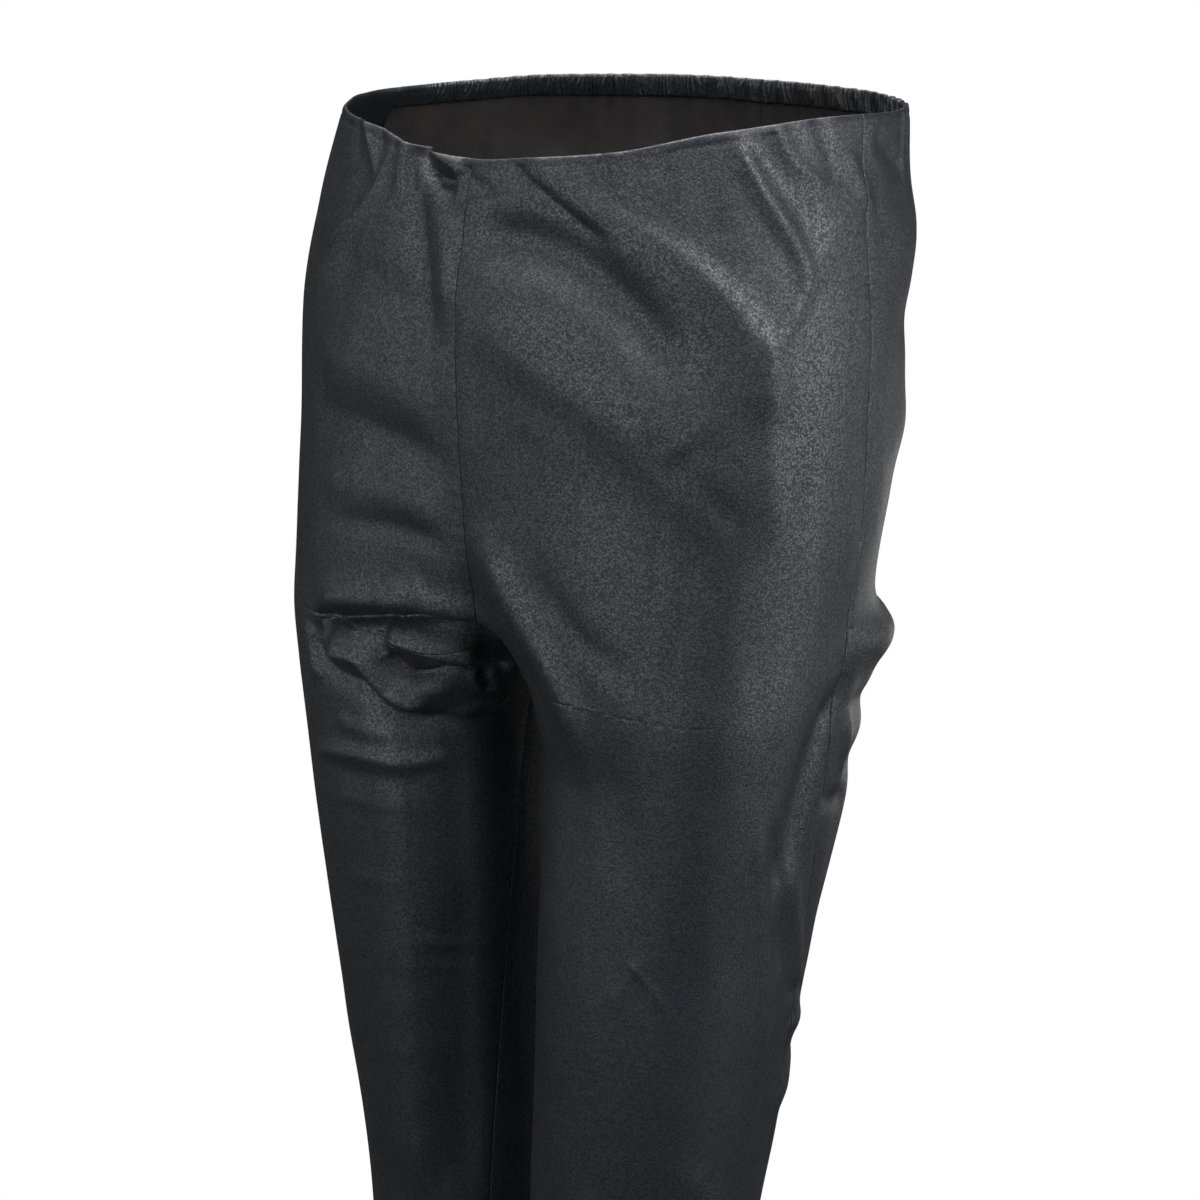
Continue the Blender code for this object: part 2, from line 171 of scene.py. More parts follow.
@dataclass(frozen=True)
class TrouserForm:
    """The smooth surface under the folds. Heights are measured down the side of the leg."""

    fork: float = -0.2738
    hem: float = -0.97
    knee: float = -0.66
    sections: SmoothTable = SmoothTable(
        ("height", "outer", "front", "back", "middle"),
        (
            (0.000, 0.1438, 0.1010, 0.1330, 0.0016),
            (-0.050, 0.1563, 0.1002, 0.1453, -0.0081),
            (-0.110, 0.1673, 0.0957, 0.1298, -0.0175),
            (-0.180, 0.1691, 0.0890, 0.1103, -0.0232),
            (-0.235, 0.1670, 0.0835, 0.1002, -0.0301),
            (-0.270, 0.1662, 0.0813, 0.1004, -0.0322),
            (-0.330, 0.1620, 0.0748, 0.0841, -0.0376),
            (-0.420, 0.1540, 0.0733, 0.0668, -0.0442),
            (-0.520, 0.1442, 0.0691, 0.0642, -0.0529),
            (-0.660, 0.1315, 0.0607, 0.0626, -0.0622),
            (-0.800, 0.1270, 0.0580, 0.0600, -0.0640),
            (-0.970, 0.1235, 0.0560, 0.0575, -0.0620),
        ),
    )
    seams: SmoothTable = SmoothTable(
        ("height", "side_seam", "inseam", "turn"),
        (
            (0.000, -1.5, 0.0, 0.0),
            (-0.120, -0.6, 0.0, 0.0),
            (-0.200, 0.8, 0.0, 0.0),
            (-0.245, 0.6, 0.0, 0.0),
            (-0.2738, -0.6, 0.0, 0.0),
            (-0.330, -4.4, 2.0, 6.0),
            (-0.450, -7.0, 6.0, 16.0),
            (-0.660, -8.0, 8.0, 31.0),
            (-0.970, -8.0, 8.0, 35.0),
        ),
    )
    rim: SmoothTable = SmoothTable(
        ("from_front", "level"),
        (
            (-180, -0.0120),
            (-135, -0.0120),
            (-100, -0.0138),
            (-75, -0.0136),
            (-55, -0.0172),
            (-38, -0.0195),
            (-20, -0.0255),
            (0, -0.0278),
            (20, -0.0243),
            (40, -0.0196),
            (60, -0.0102),
            (80, -0.0060),
            (105, -0.0090),
            (140, -0.0110),
            (180, -0.0120),
        ),
    )
    rim_fade: float = 0.20
    front_squareness: float = 2.25
    back_squareness: float = 2.0
    half_gap: float = 0.15 * MM
    half_fill: float = 2.2
    half_round: float = 0.9
    thigh_gap: float = 0.0155
    thigh_gap_blend: float = 0.05
    right_leg_back: float = 0.0232
    touch: float = 0.03 * MM
    fork_ease: float = 0.026
    ease_width: float = 0.030
    ease_steps: int = 13
    edge_samples: int = 20
    arc_samples: int = 33
    seat_samples: int = 240
    leg_samples: int = 400
    turn_step: float = 1e-3
    drop_step: float = 2e-4

    def inner_end(self, outer: Array, height: Array) -> Array:
        """Where a ring's inner end lies: past the centre line above the fork, at the inseam below it.

        Args:
            outer: the ring's outer end.
            height: heights down the side.

        Returns:
            The distance from the centre line, negative past it.
        """
        down = np.clip(height / self.fork, 0, 1)
        past_centre = self.half_gap - (outer + self.half_gap) * (1 - down**self.half_fill) ** self.half_round
        inside_leg = self.half_gap + self.thigh_gap * soft((self.fork - height) / self.thigh_gap_blend)
        return np.where(height > self.fork, past_centre, inside_leg)

    def section(self, leg: Leg, height: Array, ease: float = 0.0) -> Section:
        """The ring at a height. Its inner end can be averaged over some heights, which eases the fork.

        Args:
            leg: the half of the trousers.
            height: heights down the side.
            ease: how far above and below each height the inner end is averaged.

        Returns:
            The section's sizes at those heights.
        """
        outer = self.sections.read("outer", height)
        middle = self.sections.read("middle", height)
        inner = self.inner_end(outer, height)
        if ease:
            step = np.linspace(-1, 1, self.ease_steps)
            weight = (1 - step**2) ** 2
            around = self.inner_end(outer[..., None], height[..., None] + ease * step)
            inner = around @ (weight / weight.sum())
        if leg is Leg.RIGHT:
            middle = middle + self.right_leg_back * soft((self.fork - height) / (self.fork - self.knee))
        front, back = self.sections.read("front", height), self.sections.read("back", height)
        return Section((outer + inner) / 2, middle, (outer - inner) / 2, front, back)

    def reach(self, angle: Array, ring: Section) -> Array:
        """The distance from a ring's centre to the ring: a superellipse with its own depth each way.

        Args:
            angle: the direction from the centre, in radians.
            ring: the ring's sizes.

        Returns:
            The distance in each direction.
        """
        ahead = np.sin(angle) < 0
        depth = np.where(ahead, ring.front, ring.back)
        square = np.where(ahead, self.front_squareness, self.back_squareness)
        across, along = np.abs(np.cos(angle) / ring.half), np.abs(np.sin(angle) / depth)
        return (across**square + along**square) ** (-1 / square)

    def point(self, leg: Leg, angle: Array, height: Array) -> Array:
        """A point of the surface. 0 rad is the outer side, and negative angles are ahead.

        Args:
            leg: the half of the trousers.
            angle: the direction from the ring's centre, in radians.
            height: the height down the side.

        Returns:
            Points, three numbers each. The waist edge's level is added to the height and fades down.
        """
        angle, height = np.broadcast_arrays(angle, height)
        ring, eased = self.section(leg, height), self.section(leg, height, self.fork_ease)
        out, far = self.reach(angle, ring), self.reach(angle, eased)
        across = ring.centre + out * np.cos(angle)
        from_fork = soft(across / self.ease_width) * soft(2 - np.abs(height - self.fork) / self.fork_ease)
        x = leg.value * (across + from_fork * (eased.centre + far * np.cos(angle) - across))
        y = ring.middle + (out + from_fork * (far - out)) * np.sin(angle)
        level = self.rim.read("level", np.degrees(np.arctan2(x, ring.middle - y)))
        z = height + level * np.clip(1 + height / self.rim_fade, 0, 1)
        return np.stack(np.broadcast_arrays(x, y, z), axis=-1)

    def outward(self, leg: Leg, angle: Array, height: Array) -> Array:
        """The outward normals: the cross product of two small steps over the surface.

        Args:
            leg: the half of the trousers.
            angle: the direction from the ring's centre, in radians.
            height: the height down the side.

        Returns:
            Unit vectors.
        """
        turn, drop = self.turn_step, self.drop_step
        around = self.point(leg, angle + turn, height) - self.point(leg, angle - turn, height)
        upward = self.point(leg, angle, height + drop) - self.point(leg, angle, height - drop)
        normal = leg.value * np.cross(around, upward)
        return normal / np.linalg.norm(normal, axis=-1, keepdims=True)

    def inner_angle(self, leg: Leg, height: Array, face: Face) -> Array:
        """Where a panel's inner edge lies on the ring: the centre seam, and the inseam below the fork.

        Args:
            leg: the half of the trousers.
            height: heights down the side.
            face: front or back.

        Returns:
            The edge's angle at each height.
        """
        ring = self.section(leg, height)
        ahead = face is Face.FRONT
        depth, square = (ring.front, self.front_squareness) if ahead else (ring.back, self.back_squareness)
        share = np.clip((ring.centre - self.touch) / ring.half, 0, 1)
        at_centre = np.arctan2(depth * (1 - share**square) ** (1 / square), self.touch - ring.centre)
        forward = np.radians(self.seams.read("inseam", height) + self.seams.read("turn", height))
        at_inseam = np.pi + face.value * forward
        room = self.touch / ring.half
        size = np.where(height > self.fork, np.minimum(at_centre, np.pi - room), at_inseam - room)
        return face.value * size

    def side_angle(self, leg: Leg, height: Array, face: Face) -> Array:
        """Where a panel's outer edge lies on the ring, at the side seam."""
        behind = np.radians(self.seams.read("side_seam", height) + self.seams.read("turn", height))
        return behind + face.value * self.touch / self.section(leg, height).half

    def row_heights(self, leg: Leg, face: Face, spacing: SmoothTable) -> tuple[Array, Array]:
        """The heights of a panel's rows at its inner edge and at its side seam.

        The inner edge is measured along its curve, so the rows stay close together round the fork. The
        number of steps is even, so every second row makes a coarser grid.

        Args:
            leg: the half of the trousers.
            face: front or back.
            spacing: the distance between rows by the distance below the waist.

        Returns:
            The heights at the inner edge and the heights at the side seam.
        """
        above = self.fork * (1 - np.linspace(1, 0, self.seat_samples) ** 2)
        under = self.fork + (self.hem - self.fork) * np.linspace(0, 1, self.leg_samples)[1:] ** 2
        heights = np.concatenate([above, under])
        edge = self.point(leg, self.inner_angle(leg, heights, face), heights)
        below = np.concatenate([[0], np.cumsum(np.linalg.norm(np.diff(edge, axis=0), axis=1))])
        fine = np.linspace(0, below[-1], self.edge_samples * len(below))
        count = np.concatenate([[0], np.cumsum(np.diff(fine) / spacing.read("spacing", fine[1:]))])
        steps = 2 * int(round(count[-1] / 2))
        at = np.interp(np.linspace(0, count[-1], steps + 1), count, fine)
        inner = np.interp(at, below, heights)
        inner[0], inner[-1] = 0.0, self.hem
        return inner, self.hem * at / below[-1]

    def divide(self, leg: Leg, height: Array, share: Array, face: Face) -> tuple[Array, Array]:
        """Divides the stretch of ring between a panel's two edges in the given shares of its length.

        Args:
            leg: the half of the trousers.
            height: the height of each point.
            share: 0 at the inner edge, 1 at the side seam.
            face: front or back.

        Returns:
            The angle of each point and the length of the whole stretch there.
        """
        first, last = self.inner_angle(leg, height, face), self.side_angle(leg, height, face)
        t = np.linspace(0, 1, self.arc_samples)
        angles = first[..., None] + (last - first)[..., None] * t
        out = self.reach(angles, self.section(leg, height[..., None]))
        steps = np.hypot(np.diff(out * np.cos(angles)), np.diff(out * np.sin(angles)))
        length = np.concatenate([np.zeros(steps.shape[:-1] + (1,)), np.cumsum(steps, axis=-1)], axis=-1)
        target = share * length[..., -1]
        span = np.clip((length <= target[..., None]).sum(-1) - 1, 0, self.arc_samples - 2)[..., None]
        low = np.take_along_axis(length, span, -1)[..., 0]
        high = np.take_along_axis(length, span + 1, -1)[..., 0]
        place = (span[..., 0] + (target - low) / (high - low)) / (self.arc_samples - 1)
        return first + (last - first) * place, length[..., -1]


@dataclass(frozen=True)
class Fold:
    """A soft ridge, or a trough where `rise` is negative, along a path over the surface.

    The path's points are (degrees round the section, millimetres below the waist). Seen from outside
    and going along the path, `left` and `right` are the widths from its crest to its foot on each side,
    in millimetres, as `rise` is. `ends` is the share of the path over which each end fades. `far` is
    how many widths away the fold is still worked out, `blunt` rounds its crest, and `same_side` keeps
    it off leather that faces another way.
    """

    leg: Leg
    path: tuple[float, ...]
    rise: float
    left: float
    right: float
    ends: float = 0.22
    crest: Crest = Crest.ROUND
    corner_cuts: int = 3
    far: float = 3.2
    blunt: float = 0.12
    same_side: float = 2.5

    def line(self, form: TrouserForm) -> tuple[Array, Array]:
        """The path's points on the surface, with its corners cut, and the normals there.

        Args:
            form: the smooth surface.

        Returns:
            The points and the outward normals.
        """
        path = np.array(self.path, float).reshape(-1, 2)
        much, little = 0.75, 0.25
        for _ in range(self.corner_cuts):
            near, far = path[:-1], path[1:]
            cut = np.empty((2 * len(near), 2))
            cut[0::2], cut[1::2] = much * near + little * far, little * near + much * far
            path = np.vstack([path[:1], cut, path[-1:]])
        angle, height = np.radians(path[:, 0]), -path[:, 1] * MM
        return form.point(self.leg, angle, height), form.outward(self.leg, angle, height)

    def stand(self, form: TrouserForm, points: Array, normals: Array) -> Array:
        """How far the fold stands out at points of the surface.

        The nearest stretch of the path gives the distance to one side and the place along it. The rise
        falls off across it as e to the minus a power of that distance over the width, and fades
        smoothly at both ends.

        Args:
            form: the smooth surface.
            points: points of the surface.
            normals: the outward normals there.

        Returns:
            The rise at each point, in metres.
        """
        line, out = self.line(form)
        room = self.far * max(self.left, self.right) * MM
        low, high = line.min(axis=0) - room, line.max(axis=0) + room
        near = np.nonzero(np.all((points > low) & (points < high), axis=1))[0]
        total = np.zeros(len(points))
        if not len(near):
            return total
        starts, steps = line[:-1], np.diff(line, axis=0)
        lengths = np.linalg.norm(steps, axis=1)
        before = np.concatenate([[0], np.cumsum(lengths)])
        offset = points[near, None] - starts
        t = np.clip((offset * steps).sum(-1) / lengths**2, 0, 1)
        away = offset - t[..., None] * steps
        nearest = np.argmin((away**2).sum(-1), axis=1)
        pick = np.arange(len(near))
        away, t = away[pick, nearest], t[pick, nearest]
        leftward = np.cross(out[:-1], steps / lengths[:, None])[nearest]
        aside = (away * leftward).sum(-1)
        width = np.where(aside > 0, self.left, self.right) * MM
        along = (before[nearest] + t * lengths[nearest]) / before[-1]
        fade = soft(along / self.ends) * soft((1 - along) / self.ends)
        facing = soft(self.same_side * (normals[near] * out[nearest]).sum(-1))
        distance, power = np.linalg.norm(away, axis=1) / width, self.crest.value
        fall = np.exp(-((distance**2 + self.blunt**2) ** (power / 2)) + self.blunt**power)
        total[near] = self.rise * MM * fade * facing * fall
        return total


def folds(leg: Leg, *rows: tuple) -> tuple[Fold, ...]:
    """Makes one leg's folds from rows that hold a path, a rise, two widths and, if need be, the rest."""
    return tuple(Fold(leg, *row) for row in rows)


L, R, SHARP = Leg.LEFT, Leg.RIGHT, Crest.SHARP
FOLDS_RIGHT_THIGH = folds(
    R,
    (
        (-66, 272, -69, 268.5, -76, 262.5, -85, 258, -97, 254.5, -110, 252, -128, 250, -150, 252),
        4.4, 10, 4.5, 0.18,
    ),
    ((-96, 254, -103, 248, -112, 236), 1.6, 8, 8),
    (
        (-70, 279, -73.5, 275, -81, 272, -94, 266.5, -108, 262.5, -121, 261, -131, 262.5, -150, 267),
        -10.5, 5.4, 5.4, 0.1, SHARP,
    ),
    (
        (-72, 270, -71.5, 280, -71.5, 290, -74.5, 297, -81, 301.5, -90, 303, -100, 303.5, -107, 310,
         -113, 316, -122, 319, -132, 320, -144, 318), -5, 3.8, 6, 0.12, SHARP,
    ),
    ((-104, 269, -108, 269.5, -113, 271, -121, 273, -129, 276.5, -136, 280, -144, 284), 8, 7.5, 8, 0.16),
    ((-102, 270, -105, 277, -109, 284), -2.2, 4.5, 4.5),
    (
        (-108, 279, -112, 286, -116.5, 291.5, -122, 294, -128, 292, -134, 288.5, -144, 288, -158, 291),
        -7, 4.4, 4.6, 0.12, SHARP,
    ),
    (
        (-78, 291, -90, 289, -98, 287.5, -102.5, 293, -107, 300, -112, 306, -119, 310.5, -130, 310),
        6.2, 6.5, 5, 0.16,
    ),
    ((-112, 297, -122, 302, -136, 301), 2.4, 6, 6),
    ((-80, 281, -88, 279, -96, 277), 2.2, 7, 7),
    ((-64, 280, -64.5, 290, -68, 304, -76, 312), 1.8, 5, 5),
    ((-128, 321, -134, 320, -141, 316.5, -149, 314, -162, 312), 1.6, 3.4, 3.6),
    ((-60, 360, -66.5, 357, -81.8, 350.5, -95, 346.5, -111.5, 344, -126, 343.5, -140, 346), 2, 5, 4),
    ((-72, 364, -90, 359, -112, 354, -130, 353), -1, 5, 7),
    ((-82, 332, -90, 331, -98, 330, -108, 329, -118, 330), 1, 5, 5),
    ((-142, 289, -143, 296, -147, 305), 1.7, 2.6, 2.8),
    ((-146, 290, -147.5, 297, -150.5, 305), -1.2, 2.4, 2.4),
    ((-150, 291, -151.5, 298, -154, 307), 1.7, 2.6, 2.8),
    ((-68, 379, -88, 375, -114, 370, -130, 371), 0.5, 3, 3.4, 0.35),
    ((-74, 428, -97, 421, -122, 412), 0.5, 5, 6, 0.4),
    ((-112, 447, -118, 450, -126, 457, -137, 455.5, -143.5, 460.5, -156, 457), 0.9, 2.6, 3),
    ((-118, 456, -128, 463, -144, 466), -0.6, 3, 3.4),
    ((-76, 474, -104, 480, -140, 472), -0.4, 6, 8, 0.4),
    ((-70, 520, -96, 529, -134, 520), 0.5, 7, 9, 0.4),
    (
        (-114, 300, -115.5, 322, -117, 355, -116.5, 404, -115, 454, -112, 507, -108, 562, -104, 640),
        5.6, 10, 20, 0.16,
    ),
    ((-136, 300, -137, 367, -136, 428, -134, 491, -131, 559, -129, 640), -2.6, 9, 12, 0.16),
)
FOLDS_RIGHT_WAIST = folds(
    R,
    ((-46, -4, -48, 0, -50, 5, -54.2, 15.5, -58.2, 25), 1.9, 2.8, 3.4, 0.22, SHARP),
    ((-44, -2, -45, 2, -46.5, 12, -49, 22), -1, 4, 4.5),
    ((-54.6, -2, -55.8, 4, -57.4, 12), -1.3, 3.4, 3.6),
    ((-60, -4, -60.8, 2, -61, 8, -58.5, 24.5, -53.2, 41.5, -45, 59, -37, 74), 2.2, 3.6, 5.2, 0.22, SHARP),
    ((-65, -4, -65.5, 5, -66, 16, -64, 30), 1.3, 4.5, 4.5),
    ((-71, -4, -71.8, 2, -73.2, 7.5, -76.5, 12, -81, 13.5, -86.5, 12.5), -7, 3.2, 3.6, 0.12, SHARP),
    ((-71, -1, -69.6, 6, -69, 14, -71, 24), -2.2, 3, 4),
    ((-74.5, -5, -77.5, 0, -82, 4, -89, 7), 3.4, 3.8, 3.4, 0.14),
    ((-77, 14, -79.5, 20, -82.2, 30, -84.6, 42, -87, 60, -89, 84), 2, 5, 6),
    ((-71, 16, -73.5, 30, -76, 46, -80, 68, -83, 98), -2.8, 5, 9),
    ((-38, 76, -50, 75, -64, 77, -77, 84, -88, 97, -94, 112), -2.6, 12, 12, 0.25),
    ((-36, 126, -50, 126, -66, 127, -83, 132, -98, 145), 1.6, 12, 12, 0.25),
    ((-38, 160, -51, 159, -65, 157.5, -80, 159, -96, 166, -108, 182), -2.2, 10, 11, 0.25),
    ((-46, 200, -60, 196, -76, 193, -96, 194, -112, 201), 1.6, 9, 9, 0.25),
    ((-56, 220, -74, 213, -92, 210, -106, 211, -118, 216), -1.4, 6, 7, 0.25),
    ((-30, 0, 20, 1, 70, 0), -3.5, 18, 18),
)
FOLDS_LEFT_FRONT = folds(
    L,
    ((-93.6, -3, -92.6, 3, -88.5, 10.5, -84.2, 13.5, -78, 18), -1.8, 2.4, 2.8, 0.22, SHARP),
    (
        (-77, -3, -76, 2, -73.2, 7, -70, 12, -64.8, 19, -60, 26.5, -55, 34.5, -48, 44),
        -3.4, 3.6, 6.5, 0.22, SHARP,
    ),
    (
        (-76, -4, -71.8, 1, -66.2, 8.5, -62, 14, -55.8, 23.5, -47.5, 34.5, -38, 49, -30, 67, -26, 81,
         -21.8, 95.5, -20, 112, -20.8, 135), 2.8, 7, 15, 0.12,
    ),
    ((-21, 92, -20.8, 118, -20.8, 151, -21.2, 179, -23, 196), 1.1, 5, 7, 0.3),
    (
        (-94, 34, -87, 38, -80.8, 40.5, -67, 43, -55.5, 52.5, -47.8, 68, -41.2, 86, -37.8, 102, -35, 126),
        -8.5, 13, 15, 0.25,
    ),
    (
        (-98, 60, -90.5, 69, -85.8, 74.5, -73, 89.5, -62.2, 103, -53, 116, -46.2, 129, -40.5, 142,
         -35.8, 157, -32, 174, -27, 198), 4.4, 36, 19, 0.25,
    ),
    ((-53, -2, -52.8, 2, -52, 12, -51, 19), -0.9, 2.4, 2.4),
    ((-50.3, -2, -50, 3, -49.2, 12, -48, 20), 0.9, 2.4, 2.6),
    ((-60, -2, -59, 6, -56, 15), 0.8, 2.6, 3),
    ((-44, -2, -42, 8, -38, 20), -0.7, 3.5, 4.5),
    (
        (-29, -4, -28, 4, -24.8, 18, -22.6, 28, -19.6, 40.5, -16.6, 52.5, -15, 63, -15.6, 75, -18.5, 86,
         -21.6, 98, -22, 112), 2.3, 4.4, 4.8, 0.16,
    ),
    ((1, 22, -4.2, 36, -9.8, 52, -13, 63, -16, 76), 1.2, 8, 5),
    ((-21, -4, -20.2, 2.5, -18, 13.5, -15.5, 21, -10, 31), 1.4, 3.6, 3.6),
    ((-25, -2, -22.6, 12, -19.4, 25, -15.6, 38, -12, 50), -1.3, 5.5, 5.5),
    ((-13, -4, -11, 8, -9.5, 20, -9, 30), -1.2, 4, 4),
    ((-36, -3, -34, 14, -31, 34, -28, 52), -0.8, 7, 7),
    ((-6, 12, -4.5, 22, -2, 33, 2.2, 44.5), 1.1, 4, 4),
    ((1, 7, 4.5, 13, 12, 22, 18, 30), -1.8, 5, 6),
    ((-14, 0, 28, 1, 70, 0), 3, 18, 18),
)
FOLDS_LEFT_LEG = folds(
    L,
    ((-37, 64, -36, 80, -35.8, 92, -36.4, 110), -0.5, 1.8, 2.2, 0.3, SHARP),
    ((-44, 168, -46, 190, -50, 220), -0.3, 2, 2.4, 0.4, SHARP),
    ((-27, 120, -33, 131, -37, 138.5, -43, 150), 0.9, 5, 5, 0.35),
    ((-45, 134, -40, 143, -36, 155, -31.5, 168, -26, 186), -1.2, 7, 6, 0.35),
    ((-82, 120, -70, 138, -56, 150), 0.6, 8, 9, 0.4),
    ((-110, 190, -107, 212, -105, 232, -103, 252, -101, 268, -100, 291, -103, 320), 4, 9, 12, 0.3),
    ((-90, 206, -85, 228, -76, 246, -64, 258), -1.4, 8, 9, 0.35),
    ((-108, 269, -90, 264, -72, 258.5, -46, 254.5, -30, 253.5), -0.1, 2.4, 3.6, 0.35, SHARP),
    ((-152, 286, -156, 306, -154, 332), 2.2, 6, 6, 0.35),
    ((-92, 290, -88, 302, -82, 334, -80, 372), -0.9, 9, 11, 0.35),
    ((-34, 312, -30.5, 326, -20, 390, -13.5, 452.5, -10, 480), 1.8, 6, 6),
    ((-24, 318, -21.5, 330, -4, 388, 12, 445, 16, 470), 1.8, 5.5, 6),
    ((-28, 318, -20, 366, -9, 424), -2, 5.5, 5.5),
    ((1, 256, -0.8, 267.5, -7.5, 280, -11, 298.5, -14.5, 318, -16.5, 338.5, -18, 372), -4.2, 8, 8),
    ((-78, 400, -70, 406, -63.5, 415.5, -58, 426), 0.6, 2.4, 2.4),
    ((-67, 394, -72, 404, -76, 414, -82, 432), 0.6, 2.4, 2.4),
    ((-46, 512, -28, 548, -16, 592), 1.2, 8, 9),
    ((-96, 540, -80, 566, -58, 584), 0.8, 10, 10),
    ((0, 326, 9, 329, 26, 336), -1.8, 5, 6),
    ((10, 282, 12.5, 290, 16, 312, 13, 336), 1.8, 4, 5),
    ((-2, 431, 5, 435, 24, 444), -1.8, 5, 6),
    ((4, 456, 12, 460, 40, 470), 2.4, 7, 8),
)
FOLDS_SEAT = folds(
    L,
    ((4, 54, 30, 60, 60, 70), 2.4, 15, 15),
    ((4, 95, 32, 101, 62, 104), -2.4, 14, 14),
    ((6, 146, 34, 151, 68, 150), 3, 18, 18),
    ((-6, 243, 12, 250, 30, 257, 52, 260, 86, 262, 104, 258), 10.5, 12, 14, 0.3),
    ((52, 260, 86, 262, 124, 252), 3.6, 12, 14, 0.45),
    ((-4, 278, 20, 286, 48, 295, 94, 298), -3.4, 8, 10, 0.3),
    ((0, 312, 24, 319, 46, 323, 78, 336), -3, 11, 11, 0.35),
    ((-4, 512, 18, 505, 40, 499, 76, 494), 2.6, 11, 11, 0.35),
    ((66, 124, 70, 170, 74, 222), 8, 42, 42, 0.3),
    ((60, 236, 84, 246, 104, 248), -2.4, 8, 10),
    ((70, 292, 96, 286, 118, 270), 2.4, 8, 8),
    ((46, 20, 52, 60, 60, 96), 1.8, 12, 14),
    ((78, 40, 82, 84, 80, 120), -1.6, 12, 12),
) + folds(
    R,
    ((56, 256, 88, 258, 126, 250), 3.2, 12, 14, 0.45),
    ((4, 89, 30, 98, 58, 102), -2.2, 15, 15),
    ((-6, 229, 18, 240, 46, 254, 92, 258), 7, 12, 14, 0.28),
    ((0, 264, 26, 274, 52, 283, 92, 286), -3.8, 10, 11, 0.3),
    ((4, 334, 28, 327, 48, 322, 84, 317), 2.6, 12, 12, 0.35),
    ((66, 124, 70, 170, 74, 222), 8, 42, 42, 0.3),
    ((62, 228, 84, 240, 102, 244), -2.4, 8, 10),
    ((72, 296, 98, 288, 120, 272), 2.6, 8, 8),
    ((40, 24, 50, 66, 58, 104), 1.8, 12, 14),
    ((80, 36, 84, 78, 82, 116), -1.6, 12, 12),
)
FOLDS_LOWER_LEGS = folds(
    L,
    ((28, 562, 82, 586, 138, 592), -2.2, 10, 14, 0.42),
    ((40, 612, 98, 606, 156, 592), 1.9, 12, 15, 0.42),
    ((60, 630, 104, 625, 160, 640), -1.4, 11, 12, 0.42),
    ((-122, 846, -90, 856, -60, 860), 2.2, 12, 12),
    ((-110, 884, -80, 892, -50, 890), -1.8, 9, 10),
    ((40, 868, 80, 878, 130, 872), 2, 11, 11),
    ((-70, 700, -52, 760, -58, 820), 1.6, 12, 14),
    ((20, 690, 34, 740, 24, 800), -1.6, 12, 14),
) + folds(
    R,
    ((34, 592, 92, 572, 142, 570), -2.3, 11, 14, 0.42),
    ((30, 590, 98, 611, 158, 616), 1.8, 12, 14, 0.42),
    ((56, 628, 100, 640, 150, 628), -1.4, 11, 12, 0.42),
    ((-120, 872, -88, 860, -56, 856), 2.2, 12, 12),
    ((-104, 900, -78, 893, -44, 896), -1.8, 9, 10),
    ((50, 880, 86, 868, 134, 874), 2, 11, 11),
    ((-64, 690, -80, 752, -70, 814), 1.6, 12, 14),
    ((24, 700, 14, 752, 26, 812), -1.6, 12, 14),
)


@dataclass(frozen=True)
class Slack:
    """The faint unevenness of worn leather: seeded waves, longer down the leg than round it.

    Each row of `octaves` is (wavelength, height of the waves), in millimetres.
    """

    octaves: tuple[tuple[float, float], ...] = ((62, 0.42), (30, 0.17), (13, 0.045))
    waves: int = 14
    stretch_down: float = 0.36
    spread: tuple[float, float] = (0.7, 1.35)
    seed: int = 11

    def stand(self, points: Array) -> Array:
        """The sum of plane waves in random directions, their lengths spread by a third.

        Args:
            points: points of the surface.

        Returns:
            How far the leather stands out there, in metres.
        """
        draw = np.random.default_rng(self.seed)
        total = np.zeros(len(points))
        for length, rise in self.octaves:
            way = draw.normal(size=(self.waves, 3)) * (1, 1, self.stretch_down)
            way /= np.linalg.norm(way * (1, 1, 1 / self.stretch_down), axis=1, keepdims=True)
            turns = 2 * np.pi / (length * MM * draw.uniform(*self.spread, self.waves))
            start = draw.uniform(0, 2 * np.pi, self.waves)
            waves = np.cos(points @ (way * turns[:, None]).T + start)
            total += rise * MM * waves.sum(axis=1) * np.sqrt(2 / self.waves)
        return total


@dataclass(frozen=True)
class LeatherSurface:
    """The form with everything that stands out of it."""

    form: TrouserForm
    folds: tuple[Fold, ...]
    slack: Slack

    def stand(self, points: Array, normals: Array) -> Array:
        """Adds the folds to the slack.

        Args:
            points: points of the form.
            normals: the outward normals there.

        Returns:
            How far the leather stands out there, in metres.
        """
        total = self.slack.stand(points)
        for fold in self.folds:
            total += fold.stand(self.form, points, normals)
        return total

    def place(self, leg: Leg, angle: Array, height: Array) -> tuple[Array, Array]:
        """Finds points of the folded surface.

        Args:
            leg: the half of the trousers.
            angle: the direction from the ring's centre, in radians.
            height: the height down the side.

        Returns:
            The points, and the form's normals there.
        """
        points, normals = self.form.point(leg, angle, height), self.form.outward(leg, angle, height)
        flat, out = rows_of(points), rows_of(normals)
        moved = flat + out * self.stand(flat, out)[:, None]
        return moved.reshape(points.shape), normals


